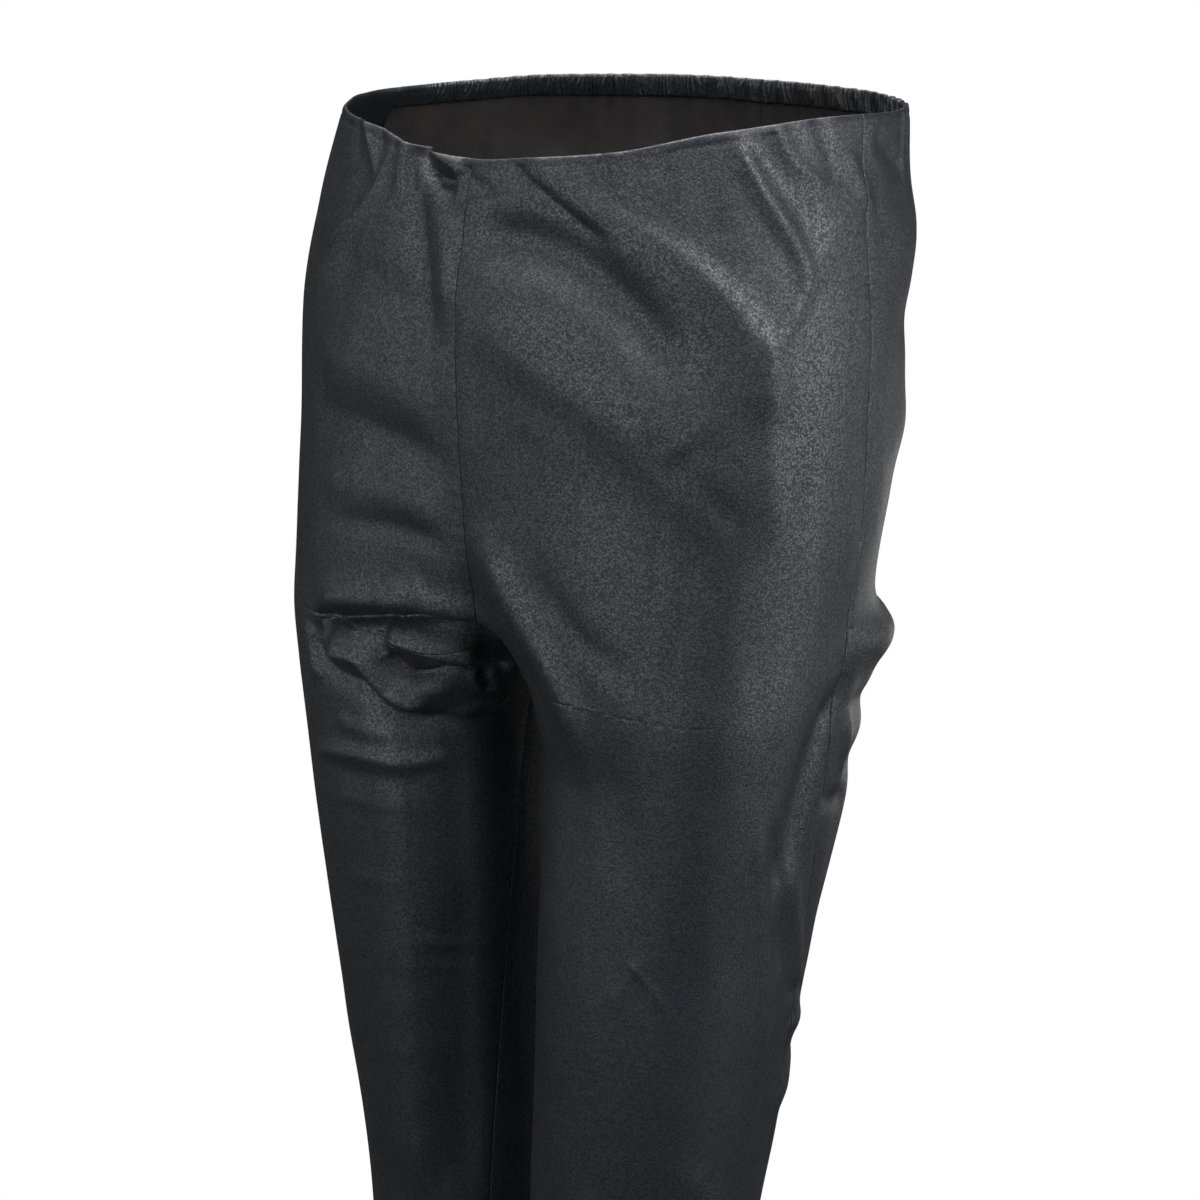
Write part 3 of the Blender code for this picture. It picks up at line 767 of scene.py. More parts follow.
def shell_faces(rows: int, columns: int, share: int) -> Array:
    """The triangles of a closed shell between two grids of points, the outer grid's numbered first.

    The inner grid has every row and column of the outer one, or every second, by `share`. The two are
    joined round their edges by a band, whose triangles fan out where the outer edge is finer.

    Args:
        rows: rows of the outer grid.
        columns: columns of the outer grid.
        share: 1 for equal grids, 2 for an inner grid of every second row and column.

    Returns:
        Triangles as rows of three point numbers.
    """

    def grid(first: int, down: int, across: int) -> tuple[Array, Array]:
        """Splits a grid's squares in two.

        Args:
            first: the number of its first point.
            down: its rows.
            across: its columns.

        Returns:
            Its triangles, and the numbers of the points round it.
        """
        number = first + np.arange(down * across).reshape(down, across)
        corners = number[:-1, :-1], number[:-1, 1:], number[1:, 1:], number[1:, :-1]
        a, b, c, d = (part.ravel() for part in corners)
        faces = np.concatenate([np.stack([a, b, c], 1), np.stack([a, c, d], 1)])
        edge = np.concatenate([number[0, :-1], number[:-1, -1], number[-1, :0:-1], number[:0:-1, 0]])
        return faces, edge

    outer, rim = grid(0, rows, columns)
    inner, lip = grid(rows * columns, (rows - 1) // share + 1, (columns - 1) // share + 1)
    ahead = np.roll(lip, -1)
    if share == 1:
        after = np.roll(rim, -1)
        band = np.concatenate([np.stack([rim, lip, after], 1), np.stack([after, lip, ahead], 1)])
    else:
        start, half, after = rim[0::2], rim[1::2], np.roll(rim[0::2], -1)
        fan = (start, lip, half), (half, lip, ahead), (half, ahead, after)
        band = np.concatenate([np.stack(corners, 1) for corners in fan])
    return np.concatenate([outer, inner[:, ::-1], band])


def add_piece(
    name: str, points: Array, faces: Array, finish: bpy.types.Material, **marks: Array
) -> bpy.types.Object:
    """Adds a mesh to the scene, shaded smooth, at the origin.

    Args:
        name: the piece's name.
        points: its points.
        faces: its triangles.
        finish: its material.
        **marks: numbers at each point, kept as attributes for the material.

    Returns:
        The new object.
    """
    mesh = bpy.data.meshes.new(name)
    mesh.from_pydata(points.tolist(), [], faces.tolist())
    for mark, values in marks.items():
        mesh.attributes.new(mark, "FLOAT", "POINT").data.foreach_set("value", np.asarray(values, np.float32))
    mesh.materials.append(finish)
    mesh.shade_smooth()
    mesh.update()
    piece = bpy.data.objects.new(name, mesh)
    bpy.context.scene.collection.objects.link(piece)
    return piece


def dress(piece: bpy.types.Object, node: str, slot: str, flat: tuple, held: str) -> bpy.types.Object:
    """Hides the solid that a leather piece replaces, and attaches the piece to the root.

    Args:
        piece: the piece.
        node: the solid it replaces.
        slot: the slot of its finish; not used.
        flat: its width, its length and, where it isn't nearly a rectangle, its area laid flat; not used.
        held: how the leather is held; not used.

    Returns:
        The piece.
    """
    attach(piece, "root")
    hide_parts(node)
    return piece


@dataclass
class PanelGrid:
    """The grid of a panel: where its points lie, and how far they are from its edges."""

    height: Array
    share: Array
    from_inner: Array
    from_side: Array
    along: Array
    point: Array
    normal: Array


@dataclass
class Panel:
    """One leather panel, from the waist to the hem, as a closed shell.

    Lengths are in millimetres where their names end in _mm, and in metres elsewhere. A round or a dip
    is (reach, depth). The pucker is (length, height, reach from the seam), and it wanders by (turns,
    over a length). The band is (place of its groove, depth, width). The gathers' sway and unevenness
    are (size, waves across the panel, phase), and the narrow gathers are (share of the broad ones'
    height, how many to a broad one, phase).
    """

    leg: Leg
    face: Face
    surface: LeatherSurface
    leather_mm: float = 1.1
    allowance_mm: float = 0.8
    allowance_width_mm: float = 8.0
    hem_turn_mm: float = 26.0
    edge_round_mm: tuple[float, float] = (1.0, 0.85)
    top_round_mm: tuple[float, float] = (2.6, 1.0)
    hem_round_mm: tuple[float, float] = (1.4, 1.0)
    seam_dip_mm: tuple[float, float] = (3.2, 0.28)
    pucker_mm: tuple[float, float, float] = (8.0, 0.11, 6.0)
    pucker_wander: tuple[float, float] = (0.35, 0.031)
    pucker_starts: tuple[float, float] = (0.0, 2.1)
    band_mm: tuple[float, float, float] = (4.6, 0.28, 0.9)
    shut_outer_mm: float = 1.0
    shut_inner_mm: float = 3.0
    shut_fade_mm: float = 4.0
    turn_fades_mm: tuple[float, float] = (0.8, 1.5)
    band_fade_mm: float = 1.2
    full_relief_mm: float = 4.0
    below_fork: float = 0.012
    near_edge_mm: tuple[float, ...] = (0, 0.14, 0.32, 0.55, 0.85, 1.3, 2.0, 3.0, 4.4, 6.1, 7.6, 8.5, 10.0)
    columns: int = 145
    gathers: int = 20
    gather_rise_mm: float = 1.1
    gather_length: float = 0.050
    gather_start: float = 0.12
    gather_sway: tuple[float, float, float] = (0.006, 5.3, 0.13)
    gather_uneven: tuple[float, float, float] = (0.35, 3.7, 0.21)
    gather_mean: float = 0.75
    gather_narrow: tuple[float, float, float] = (0.35, 2.6, 1.3)
    gather_narrow_length: float = 0.02
    cut: dict[Face, tuple[float, float, float]] = field(
        default_factory=lambda: {Face.FRONT: (0.245, 1.02, 0.190), Face.BACK: (0.275, 1.06, 0.222)}
    )
    rows: SmoothTable = SmoothTable(
        ("below", "spacing"),
        (
            (0.000, 0.0003),
            (0.005, 0.0012),
            (0.012, 0.0018),
            (0.330, 0.0019),
            (0.420, 0.0027),
            (0.600, 0.0034),
            (0.960, 0.0034),
            (1.200, 0.0034),
        ),
    )

    @property
    def name(self) -> str:
        """The name of the solid that this panel dresses."""
        return f"{self.face.name.lower()}_{self.leg.name.lower()}"

    @cached_property
    def grid(self) -> PanelGrid:
        """Lays the panel's grid: fine columns near its two edges, and even ones between them.

        Returns:
            The grid, its first row at the waist and its first column at the inner edge.
        """
        form, leg, face = self.surface.form, self.leg, self.face
        spacing = self.rows
        at_inner, at_side = form.row_heights(leg, face, spacing)
        _, inner_length = form.divide(leg, at_inner, np.zeros(len(at_inner)), face)
        _, side_length = form.divide(leg, at_side, np.zeros(len(at_side)), face)
        near = np.array(self.near_edge_mm) * MM
        columns = self.columns
        share = np.empty((len(at_inner), columns))
        share[:, : len(near)] = near / inner_length[:, None]
        share[:, -len(near) :] = 1 - near[::-1] / side_length[:, None]
        between = np.linspace(0, 1, columns - 2 * len(near) + 2)
        first, last = share[:, len(near) - 1, None], share[:, -len(near), None]
        share[:, len(near) - 1 : columns - len(near) + 1] = first + (last - first) * between
        height = at_inner[:, None] + (at_side - at_inner)[:, None] * soft(share)
        angle, length = form.divide(leg, height, share, face)
        point = form.point(leg, angle, height)
        steps = np.linalg.norm(np.diff(point, axis=0), axis=-1)
        along = np.concatenate([np.zeros((1, columns)), np.cumsum(steps, axis=0)])
        normal = form.outward(leg, angle, height)
        from_inner, from_side = share * length, (1 - share) * length
        return PanelGrid(height, share, from_inner, from_side, along, point, normal)

    @cached_property
    def gathering(self) -> Array:
        """The gathers under the back waist: uneven waves that fade to the side seam and down the seat.

        Returns:
            Their rise at each point, in metres.
        """
        grid, leg = self.grid, self.leg.value
        if self.face is Face.FRONT:
            return np.zeros(grid.share.shape)
        sway, rate, phase = self.gather_sway
        share = grid.share + sway * np.sin(2 * np.pi * (rate * grid.share + leg * phase))
        fade = soft((1 - self.gather_start - grid.share) / self.gather_start)
        fade = fade * soft(1 + grid.height / self.gather_length)
        swing, rate, phase = self.gather_uneven
        uneven = self.gather_mean + swing * np.sin(2 * np.pi * (rate * grid.share + phase * leg))
        broad = np.cos(2 * np.pi * self.gathers * share)
        rise, finer, phase = self.gather_narrow
        narrow = rise * np.cos(2 * np.pi * finer * self.gathers * share + phase)
        narrow = narrow * soft(1 + grid.height / self.gather_narrow_length)
        return self.gather_rise_mm * MM * fade * uneven * (broad + narrow)

    @cached_property
    def relief(self) -> Array:
        """Adds the folds, the puckers and dips along the seams, the gathers and the band's groove.

        Returns:
            How far the leather stands out of the form, in metres, before its edges are rolled down.
        """
        grid = self.grid
        stand = self.surface.stand(rows_of(grid.point), rows_of(grid.normal)).reshape(grid.share.shape)
        dip_width, dip = self.seam_dip_mm
        length, pucker, reach = self.pucker_mm
        swing, over = self.pucker_wander
        seam = np.zeros(grid.share.shape)
        for distance, phase in zip((grid.from_inner, grid.from_side), self.pucker_starts):
            wander = grid.along / (length * MM) + swing * np.sin(grid.along / over + phase)
            wave = pucker * np.sin(2 * np.pi * wander + phase)
            sunk = dip * np.exp(-((distance / (dip_width * MM)) ** 2))
            seam += MM * (wave * np.exp(-distance / (reach * MM)) - sunk)
        return stand + seam + self.gathering - MM * self.band_mm[1] * self.band_groove

    @property
    def band_groove(self) -> Array:
        """The shallow groove under the smooth rolled band at the waist edge, from 0 to 1."""
        place, _, width = self.band_mm
        return np.exp(-(((-self.grid.height / MM - place) / width) ** 2))

    @property
    def rolled(self) -> Array:
        """How far each edge has been rolled down: the deepest of its seams, the waist edge and the hem.

        Where the two halves meet flat just above the fork, the centre seam isn't rolled, so that it
        stays shut.

        Returns:
            The depth at each point, in metres.
        """
        grid, form = self.grid, self.surface.form
        reach, depth = (size * MM for size in self.edge_round_mm)
        upright = np.sqrt(np.clip(1 - grid.normal[..., 0] ** 2, 0, 1))
        below_fork = soft((form.fork - grid.height) / self.below_fork)
        at_inner = rounded_edge(grid.from_inner, reach, depth) * np.maximum(upright, below_fork)
        at_side = rounded_edge(grid.from_side, reach, depth)
        top = rounded_edge(-grid.height, *(size * MM for size in self.top_round_mm))
        bottom = rounded_edge(grid.height - form.hem, *(size * MM for size in self.hem_round_mm))
        return np.maximum.reduce([at_inner, at_side, top, bottom])

    @property
    def thickness(self) -> Array:
        """The wall's thickness: the leather, and a second layer where it is turned at seams and hem.

        Returns:
            The thickness at each point, in metres.
        """
        grid, form = self.grid, self.surface.form
        near = np.minimum(grid.from_inner, grid.from_side)
        seam_fade, hem_fade = self.turn_fades_mm
        turned = soft((self.allowance_width_mm * MM - near) / (seam_fade * MM))
        hem = soft((form.hem + self.hem_turn_mm * MM - grid.height) / (hem_fade * MM))
        return MM * (self.leather_mm + self.allowance_mm * np.maximum(turned, hem))

    def clear(self, points: Array) -> Array:
        """Keeps points on their own side of the centre line.

        Args:
            points: any points.

        Returns:
            A copy, moved where it has to be.
        """
        points = points.copy()
        side = self.leg.value
        points[..., 0] = side * np.maximum(side * points[..., 0], self.surface.form.touch)
        return points

    def closed(self, points: Array, step: int, reach: float) -> Array:
        """Draws a face's edge onto the centre line above the fork, so that the centre seam stays shut.

        Args:
            points: the points of every row and column, or of every second one.
            step: 1 or 2, for every row and column or every second one.
            reach: how far from the seam the points are moved.

        Returns:
            The points, all on their own side of the centre line.
        """
        grid, form = self.grid, self.surface.form
        near = soft(1 - grid.from_inner[::step, ::step] / reach)
        shut = near * soft((grid.height[::step, ::step] - form.fork) / (self.shut_fade_mm * MM))
        points = self.clear(points)
        points[..., 0] += (self.leg.value * form.touch - points[..., 0]) * shut
        return points

    @cached_property
    def outer(self) -> Array:
        """The outer face's points."""
        stand = (self.relief - self.rolled)[..., None]
        return self.closed(self.grid.point + self.grid.normal * stand, 1, self.shut_outer_mm * MM)

    @cached_property
    def inner(self) -> Array:
        """The inner face's points, on every second row and column."""
        points = self.grid.point + self.grid.normal * (self.relief - self.thickness)[..., None]
        return self.closed(points[::2, ::2], 2, self.shut_inner_mm * MM)

    def turned(self, faces: Array) -> Array:
        """Triangles turned over where the grid's own order of points would face them inwards."""
        return faces[:, ::-1] if self.leg.value * self.face.value > 0 else faces

    def strip(self, kind: str, near: Array, far: Array, finish: bpy.types.Material, **marks: Array) -> tuple:
        """Adds a strip inside the panel, as a closed shell between two grids of points.

        Args:
            kind: the strip's name without its side.
            near: the grid of points beside the panel.
            far: the grid of points away from it.
            finish: its material.
            **marks: numbers at each point for the material.

        Returns:
            The strip's object and the name of the solid that it dresses.
        """
        node = f"{kind}_{self.leg.name.lower()}"
        points = self.clear(np.concatenate([rows_of(near), rows_of(far)]))
        faces = self.turned(shell_faces(*near.shape[:2], 1))
        return add_piece(f"{node}_leather", points, faces, finish, **marks), node

    def build(self, finish: bpy.types.Material) -> bpy.types.Object:
        """Args:
            finish: the grained leather.

        Returns:
            The panel's object.
        """
        rows, columns = self.grid.share.shape
        faces = shell_faces(rows, columns, 2)
        points = np.concatenate([rows_of(self.outer), rows_of(self.inner)])
        blank = np.zeros(len(points) - rows * columns)
        # The band mark smooths and dulls the rolled waist edge, and darkens it with painted shade.
        band = soft((self.band_mm[0] * MM + self.grid.height) / (self.band_fade_mm * MM))
        # The relief also sets the lighter crest colour: rubbed wear and a painted highlight.
        stand = np.clip(self.relief / (self.full_relief_mm * MM), -1, 1)
        piece = add_piece(
            f"{self.name}_leather",
            points,
            self.turned(faces),
            finish,
            inside=np.concatenate([np.zeros(rows * columns), blank + 1]),
            relief=np.concatenate([stand.ravel(), blank]),
            band=np.concatenate([band.ravel(), blank]),
        )
        return dress(piece, self.name, "leather", self.cut[self.face], "hung")


@dataclass
class FrontFacing:
    """A plain strip of smooth leather inside the front's top edge, on the panel's inner points."""

    panel: Panel
    cut: tuple[float, float] = (0.215, 0.030)
    depth: float = 0.027
    thickness: float = 1.0 * MM
    gap: float = 0.05 * MM
    top_round: tuple[float, float] = (2.4 * MM, 0.85 * MM)
    lower_round: tuple[float, float] = (1.5 * MM, 0.5 * MM)

    def build(self, finish: bpy.types.Material) -> bpy.types.Object:
        """Makes the strip as a closed shell, its upper edge rolled towards the panel.

        Args:
            finish: the facing's leather.

        Returns:
            The strip's object.
        """
        grid = self.panel.grid
        into = -grid.normal[::2, ::2]
        below = -grid.height[::2, ::2]
        count = int(np.count_nonzero(below[:, 0] <= self.depth))
        near = (self.panel.inner + into * self.gap)[:count]
        rolled = rounded_edge(below, *self.top_round) + rounded_edge(self.depth - below, *self.lower_round)
        far = near + (into * (self.thickness - rolled)[..., None])[:count]
        piece = self.panel.strip("front_facing", near, far, finish)
        return dress(*piece, "facing", self.cut, "hung")


@dataclass
class BackCasing:
    """Half of the elastic casing inside the back's top edge, gathered into fine ribs.

    The ribs wander by `waves`, each with its own random rate, start and lean. The same waves change
    the ribs' height, with rates and starts that are `finer` times as large. A fade is (the share of
    the length where the ribs end, the share over which they rise from there).
    """

    panel: Panel
    cut: tuple[float, float] = (0.300, 0.014)
    depth: float = 0.013
    thickness: float = 1.0 * MM
    gap: float = 0.05 * MM
    top_round: tuple[float, float] = (2.0 * MM, 0.85 * MM)
    lower_round: tuple[float, float] = (1.2 * MM, 0.75 * MM)
    rib_pitch: float = 2.75 * MM
    rib_rise: float = 0.75 * MM
    waves: int = 5
    rates: tuple[float, float] = (4.0, 17.0)
    finer: tuple[float, float] = (2.3, 1.7)
    lean: float = 1.6
    wander: float = 0.20
    unevenness: float = 0.16
    crest_power: float = 0.8
    side_fade: tuple[float, float] = (0.93, 0.06)
    centre_fade: tuple[float, float] = (0.012, 0.01)
    edge_share: float = 0.45
    edge_power: float = 0.6
    points_a_rib: int = 8
    rows: int = 21
    seed: int = 5

    def ribs(self, share: Array, below: Array, length: float) -> Array:
        """The ribs: raised cosines whose pitch and height wander, fading to the side seam.

        Args:
            share: 0 at the centre back, 1 at the side seam.
            below: 0 at the upper edge, 1 at the lower.
            length: the casing's length.

        Returns:
            The rise of each point, in metres.
        """
        draw = np.random.default_rng(self.seed + self.panel.leg.value)
        turns = length / self.rib_pitch
        wander, uneven = np.zeros(share.shape), np.ones(share.shape)
        (side, side_over), (centre, centre_over) = self.side_fade, self.centre_fade
        for _ in range(self.waves):
            rate, start = draw.uniform(*self.rates), draw.uniform(0, 2 * np.pi)
            lean = draw.normal() * self.lean * below
            wander += self.wander * np.sin(rate * 2 * np.pi * share + start + lean)
            again = self.finer[0] * rate * 2 * np.pi * share + self.finer[1] * start - lean
            uneven += self.unevenness * np.sin(again)
        wave = np.cos(2 * np.pi * (turns * share + wander))
        crest = np.sign(wave) * np.abs(wave) ** self.crest_power
        fade = soft((side - share) / side_over) * soft((share - centre) / centre_over)
        middle = np.sin(np.pi * np.clip(below, 0, 1)) ** self.edge_power
        ends = self.edge_share + (1 - self.edge_share) * middle
        return self.rib_rise * fade * ends * uneven * (0.5 + 0.5 * crest)

    def build(self, finish: bpy.types.Material) -> bpy.types.Object:
        """Makes the casing as a closed shell over the panel's inner points, ribbed on its far side.

        Args:
            finish: the casing's leather.

        Returns:
            The casing's object.
        """
        grid = self.panel.grid
        below = -grid.height[::2, 0]
        count = int(np.count_nonzero(below <= self.depth)) + 1
        rows = np.interp(np.linspace(0, self.depth, self.rows), below[:count], np.arange(count))
        share = grid.share[0, ::2]
        length = float(grid.from_inner[0, -1])
        steps = int(round(length / self.rib_pitch)) * self.points_a_rib
        fine = np.linspace(0, 1, steps + 1)
        columns = np.interp(fine, share, np.arange(len(share)))

        def resample(values: Array) -> Array:
            """Reads values of the panel's inner grid at the casing's rows and columns.

            Args:
                values: three numbers at each point of the panel's inner grid.

            Returns:
                The numbers at the casing's points, along straight lines between the panel's.
            """
            row = np.minimum(rows.astype(int), count - 2)
            column = np.minimum(columns.astype(int), len(share) - 2)
            v, u = (rows - row)[:, None, None], (columns - column)[None, :, None]
            above = values[row][:, column] * (1 - u) + values[row][:, column + 1] * u
            under = values[row + 1][:, column] * (1 - u) + values[row + 1][:, column + 1] * u
            return above * (1 - v) + under * v

        into = resample(-grid.normal[::2, ::2])
        near = resample(self.panel.inner) + into * self.gap
        down = np.linspace(0, 1, self.rows)[:, None]
        ribs = self.ribs(fine[None, :] + 0 * down, down + 0 * fine[None, :], length)
        rolled = rounded_edge(down * self.depth, *self.top_round)
        rolled = rolled + rounded_edge((1 - down) * self.depth, *self.lower_round)
        far = near + into * (self.thickness + ribs - rolled)[..., None]
        # The ribs' relief sets the lighter crest colour on them: rubbed wear and a painted highlight.
        mark = np.concatenate([np.zeros(ribs.size), (ribs / self.rib_rise).ravel()])
        piece = self.panel.strip("back_casing", near, far, finish, relief=mark)
        return dress(*piece, "casing", self.cut, "gathered")


@dataclass
class Stitching:
    """Stitches as short round-ended lengths of thread, joined in one mesh."""

    name: str
    length: float
    radius: float
    sides: int = 8
    rings: int = 5

    def capsule(self) -> tuple[Array, Array]:
        """One stitch along X: rings whose radius follows the root of a sine, closed at both ends.

        Returns:
            Its points and triangles.
        """
        bend = np.linspace(0, np.pi, self.rings + 2)[1:-1]
        turn = np.linspace(0, 2 * np.pi, self.sides, endpoint=False)
        across = self.radius * np.sin(bend)[:, None] ** 0.5
        along = -self.length / 2 * np.cos(bend)[:, None]
        ring = np.stack(np.broadcast_arrays(along, across * np.cos(turn), across * np.sin(turn)), axis=-1)
        poles = np.array([[-self.length / 2, 0, 0], [self.length / 2, 0, 0]])
        number = np.arange(self.rings * self.sides).reshape(self.rings, self.sides)
        after = np.roll(number, -1, axis=1)
        first, last = self.rings * self.sides, self.rings * self.sides + 1
        a, b, c, d = number[:-1], after[:-1], after[1:], number[1:]
        faces = [np.stack([a, b, c], -1).reshape(-1, 3), np.stack([a, c, d], -1).reshape(-1, 3)]
        faces.append(np.stack([np.full(self.sides, first), after[0], number[0]], -1))
        faces.append(np.stack([np.full(self.sides, last), number[-1], after[-1]], -1))
        return np.concatenate([rows_of(ring), poles]), np.concatenate(faces)[:, ::-1]

    def build(self, places: Array, along: Array, out: Array, finish: bpy.types.Material) -> bpy.types.Object:
        """Makes a stitch at each place.

        Args:
            places: the middles of the stitches.
            along: the direction of each.
            out: the leather's normal at each.
            finish: the thread's material.

        Returns:
            The stitches' object.
        """
        along = along / np.linalg.norm(along, axis=1, keepdims=True)
        aside = np.cross(out, along)
        aside /= np.linalg.norm(aside, axis=1, keepdims=True)
        up = np.cross(along, aside)
        axes = np.stack([along, aside, up], axis=1)
        points, faces = self.capsule()
        every = places[:, None] + points @ axes
        numbers = faces[None] + len(points) * np.arange(len(places))[:, None, None]
        piece = add_piece(self.name, rows_of(every), numbers.reshape(-1, 3), finish)
        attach(piece, "root")
        return piece


@dataclass
class SideSeamThread:
    """The seam thread that shows between the two edges of a side seam where it is pulled open."""

    leg: Leg
    surface: LeatherSurface
    pitch: float = 3.2 * MM
    length: float = 1.5 * MM
    radius: float = 0.24 * MM
    depth: float = 0.55 * MM
    seam_dip: float = 0.28 * MM
    lean: float = 0.55
    pitch_jitter: float = 0.12
    depth_jitter_mm: float = 0.1
    first: float = -0.012
    last: float = -0.955
    seed: int = 3

    def build(self, finish: bpy.types.Material) -> bpy.types.Object:
        """Lays stitches across the seam, each leaning a little along it.

        Args:
            finish: the thread's material.

        Returns:
            The thread's object.
        """
        form = self.surface.form
        draw = np.random.default_rng(self.seed)
        count = int((self.first - self.last) / self.pitch)
        shift = draw.uniform(-self.pitch_jitter, self.pitch_jitter, count)
        height = self.first - self.pitch * (np.arange(count) + shift)
        angle = form.side_angle(self.leg, height, Face.FRONT)
        points, normals = self.surface.place(self.leg, angle, height)
        lift = draw.uniform(-self.depth_jitter_mm, self.depth_jitter_mm, count) * MM
        sunk = self.depth + self.seam_dip + lift
        points = points - normals * sunk[:, None]
        down = form.point(self.leg, angle, height - MM) - form.point(self.leg, angle, height + MM)
        down /= np.linalg.norm(down, axis=1, keepdims=True)
        along = np.cross(normals, down) + self.lean * down
        row = Stitching(f"side_seam_thread_{self.leg.name.lower()}", self.length, self.radius)
        return row.build(points, along, normals, finish)


@dataclass
class HemStitching:
    """The row of stitches that holds a turned-up hem, round the whole leg."""

    leg: Leg
    surface: LeatherSurface
    above_hem: float = 0.022
    pitch: float = 3.6 * MM
    length: float = 2.9 * MM
    radius: float = 0.26 * MM
    depth: float = 0.06 * MM
    samples: int = 2000
    turn_step: float = 0.01

    def build(self, finish: bpy.types.Material) -> bpy.types.Object:
        """Lays the stitches end to end round the leg.

        Args:
            finish: the thread's material.

        Returns:
            The stitches' object.
        """
        form = self.surface.form
        dense = np.linspace(-np.pi, np.pi, self.samples)
        ring = form.point(self.leg, dense, np.full(dense.shape, form.hem + self.above_hem))
        length = np.concatenate([[0], np.cumsum(np.linalg.norm(np.diff(ring, axis=0), axis=1))])
        count = int(length[-1] / self.pitch)
        angle = np.interp(np.arange(count) * length[-1] / count, length, dense)
        height = np.full(count, form.hem + self.above_hem)
        points, normals = self.surface.place(self.leg, angle, height)
        points = points - normals * self.depth
        turn = self.turn_step
        ahead = form.point(self.leg, angle + turn, height) - form.point(self.leg, angle - turn, height)
        row = Stitching(f"hem_stitching_{self.leg.name.lower()}", self.length, self.radius)
        return row.build(points, ahead, normals, finish)


@dataclass
class Wiring:
    """Short calls that add and join shader nodes in one tree."""

    tree: bpy.types.NodeTree

    @classmethod
    def finish(cls, name: str) -> tuple[bpy.types.Material, "Wiring", bpy.types.Node]:
        """Starts a material.

        Args:
            name: the material's name.

        Returns:
            The material, the wiring of its tree and its Principled BSDF.
        """
        made = bpy.data.materials.new(name)
        made.use_nodes = True
        return made, cls(made.node_tree), made.node_tree.nodes["Principled BSDF"]

    def node(self, kind: str, **inputs: object) -> bpy.types.Node:
        """Adds a node.

        Args:
            kind: its type.
            **inputs: values or sockets for its inputs, by their names with _ for a space.

        Returns:
            The node.
        """
        made = self.tree.nodes.new(kind)
        for name, value in inputs.items():
            self.feed(made.inputs[name.replace("_", " ")], value)
        return made

    def feed(self, socket: bpy.types.NodeSocket, value: object) -> None:
        """Gives an input its value.

        Args:
            socket: the input.
            value: a plain value, or a socket to link to it.
        """
        if isinstance(value, bpy.types.NodeSocket):
            self.tree.links.new(value, socket)
        else:
            socket.default_value = value

    def math(self, operation: str, *values: object) -> bpy.types.NodeSocket:
        """Adds a Math node.

        Args:
            operation: what it works out.
            *values: one to three values or sockets.

        Returns:
            Its result.
        """
        made = self.tree.nodes.new("ShaderNodeMath")
        made.operation = operation
        for socket, value in zip(made.inputs, values):
            self.feed(socket, value)
        return made.outputs[0]

    def mix(self, share: object, first: object, second: object) -> bpy.types.NodeSocket:
        """Mixes two colours.

        Args:
            share: how much of the second there is, from 0 to 1.
            first: the first colour.
            second: the second colour.

        Returns:
            The mixed colour.
        """
        made = self.tree.nodes.new("ShaderNodeMix")
        made.data_type = "RGBA"
        for index, value in ((0, share), (6, first), (7, second)):
            self.feed(made.inputs[index], value)
        return made.outputs[2]

    def spread(self, value: object, *ends: float) -> bpy.types.NodeSocket:
        """Maps a value from one range to another, held at its ends.

        Args:
            value: the value or socket.
            *ends: the first range's two ends, then the second's.

        Returns:
            The mapped value.
        """
        made = self.node("ShaderNodeMapRange", Value=value)
        for name, number in zip(("From Min", "From Max", "To Min", "To Max"), ends):
            made.inputs[name].default_value = number
        return made.outputs["Result"]

    def mark(self, name: str) -> bpy.types.NodeSocket:
        """Reads the numbers that a piece's mesh keeps.

        Args:
            name: the attribute's name.

        Returns:
            The number at each point.
        """
        made = self.tree.nodes.new("ShaderNodeAttribute")
        made.attribute_name = name
        return made.outputs["Fac"]


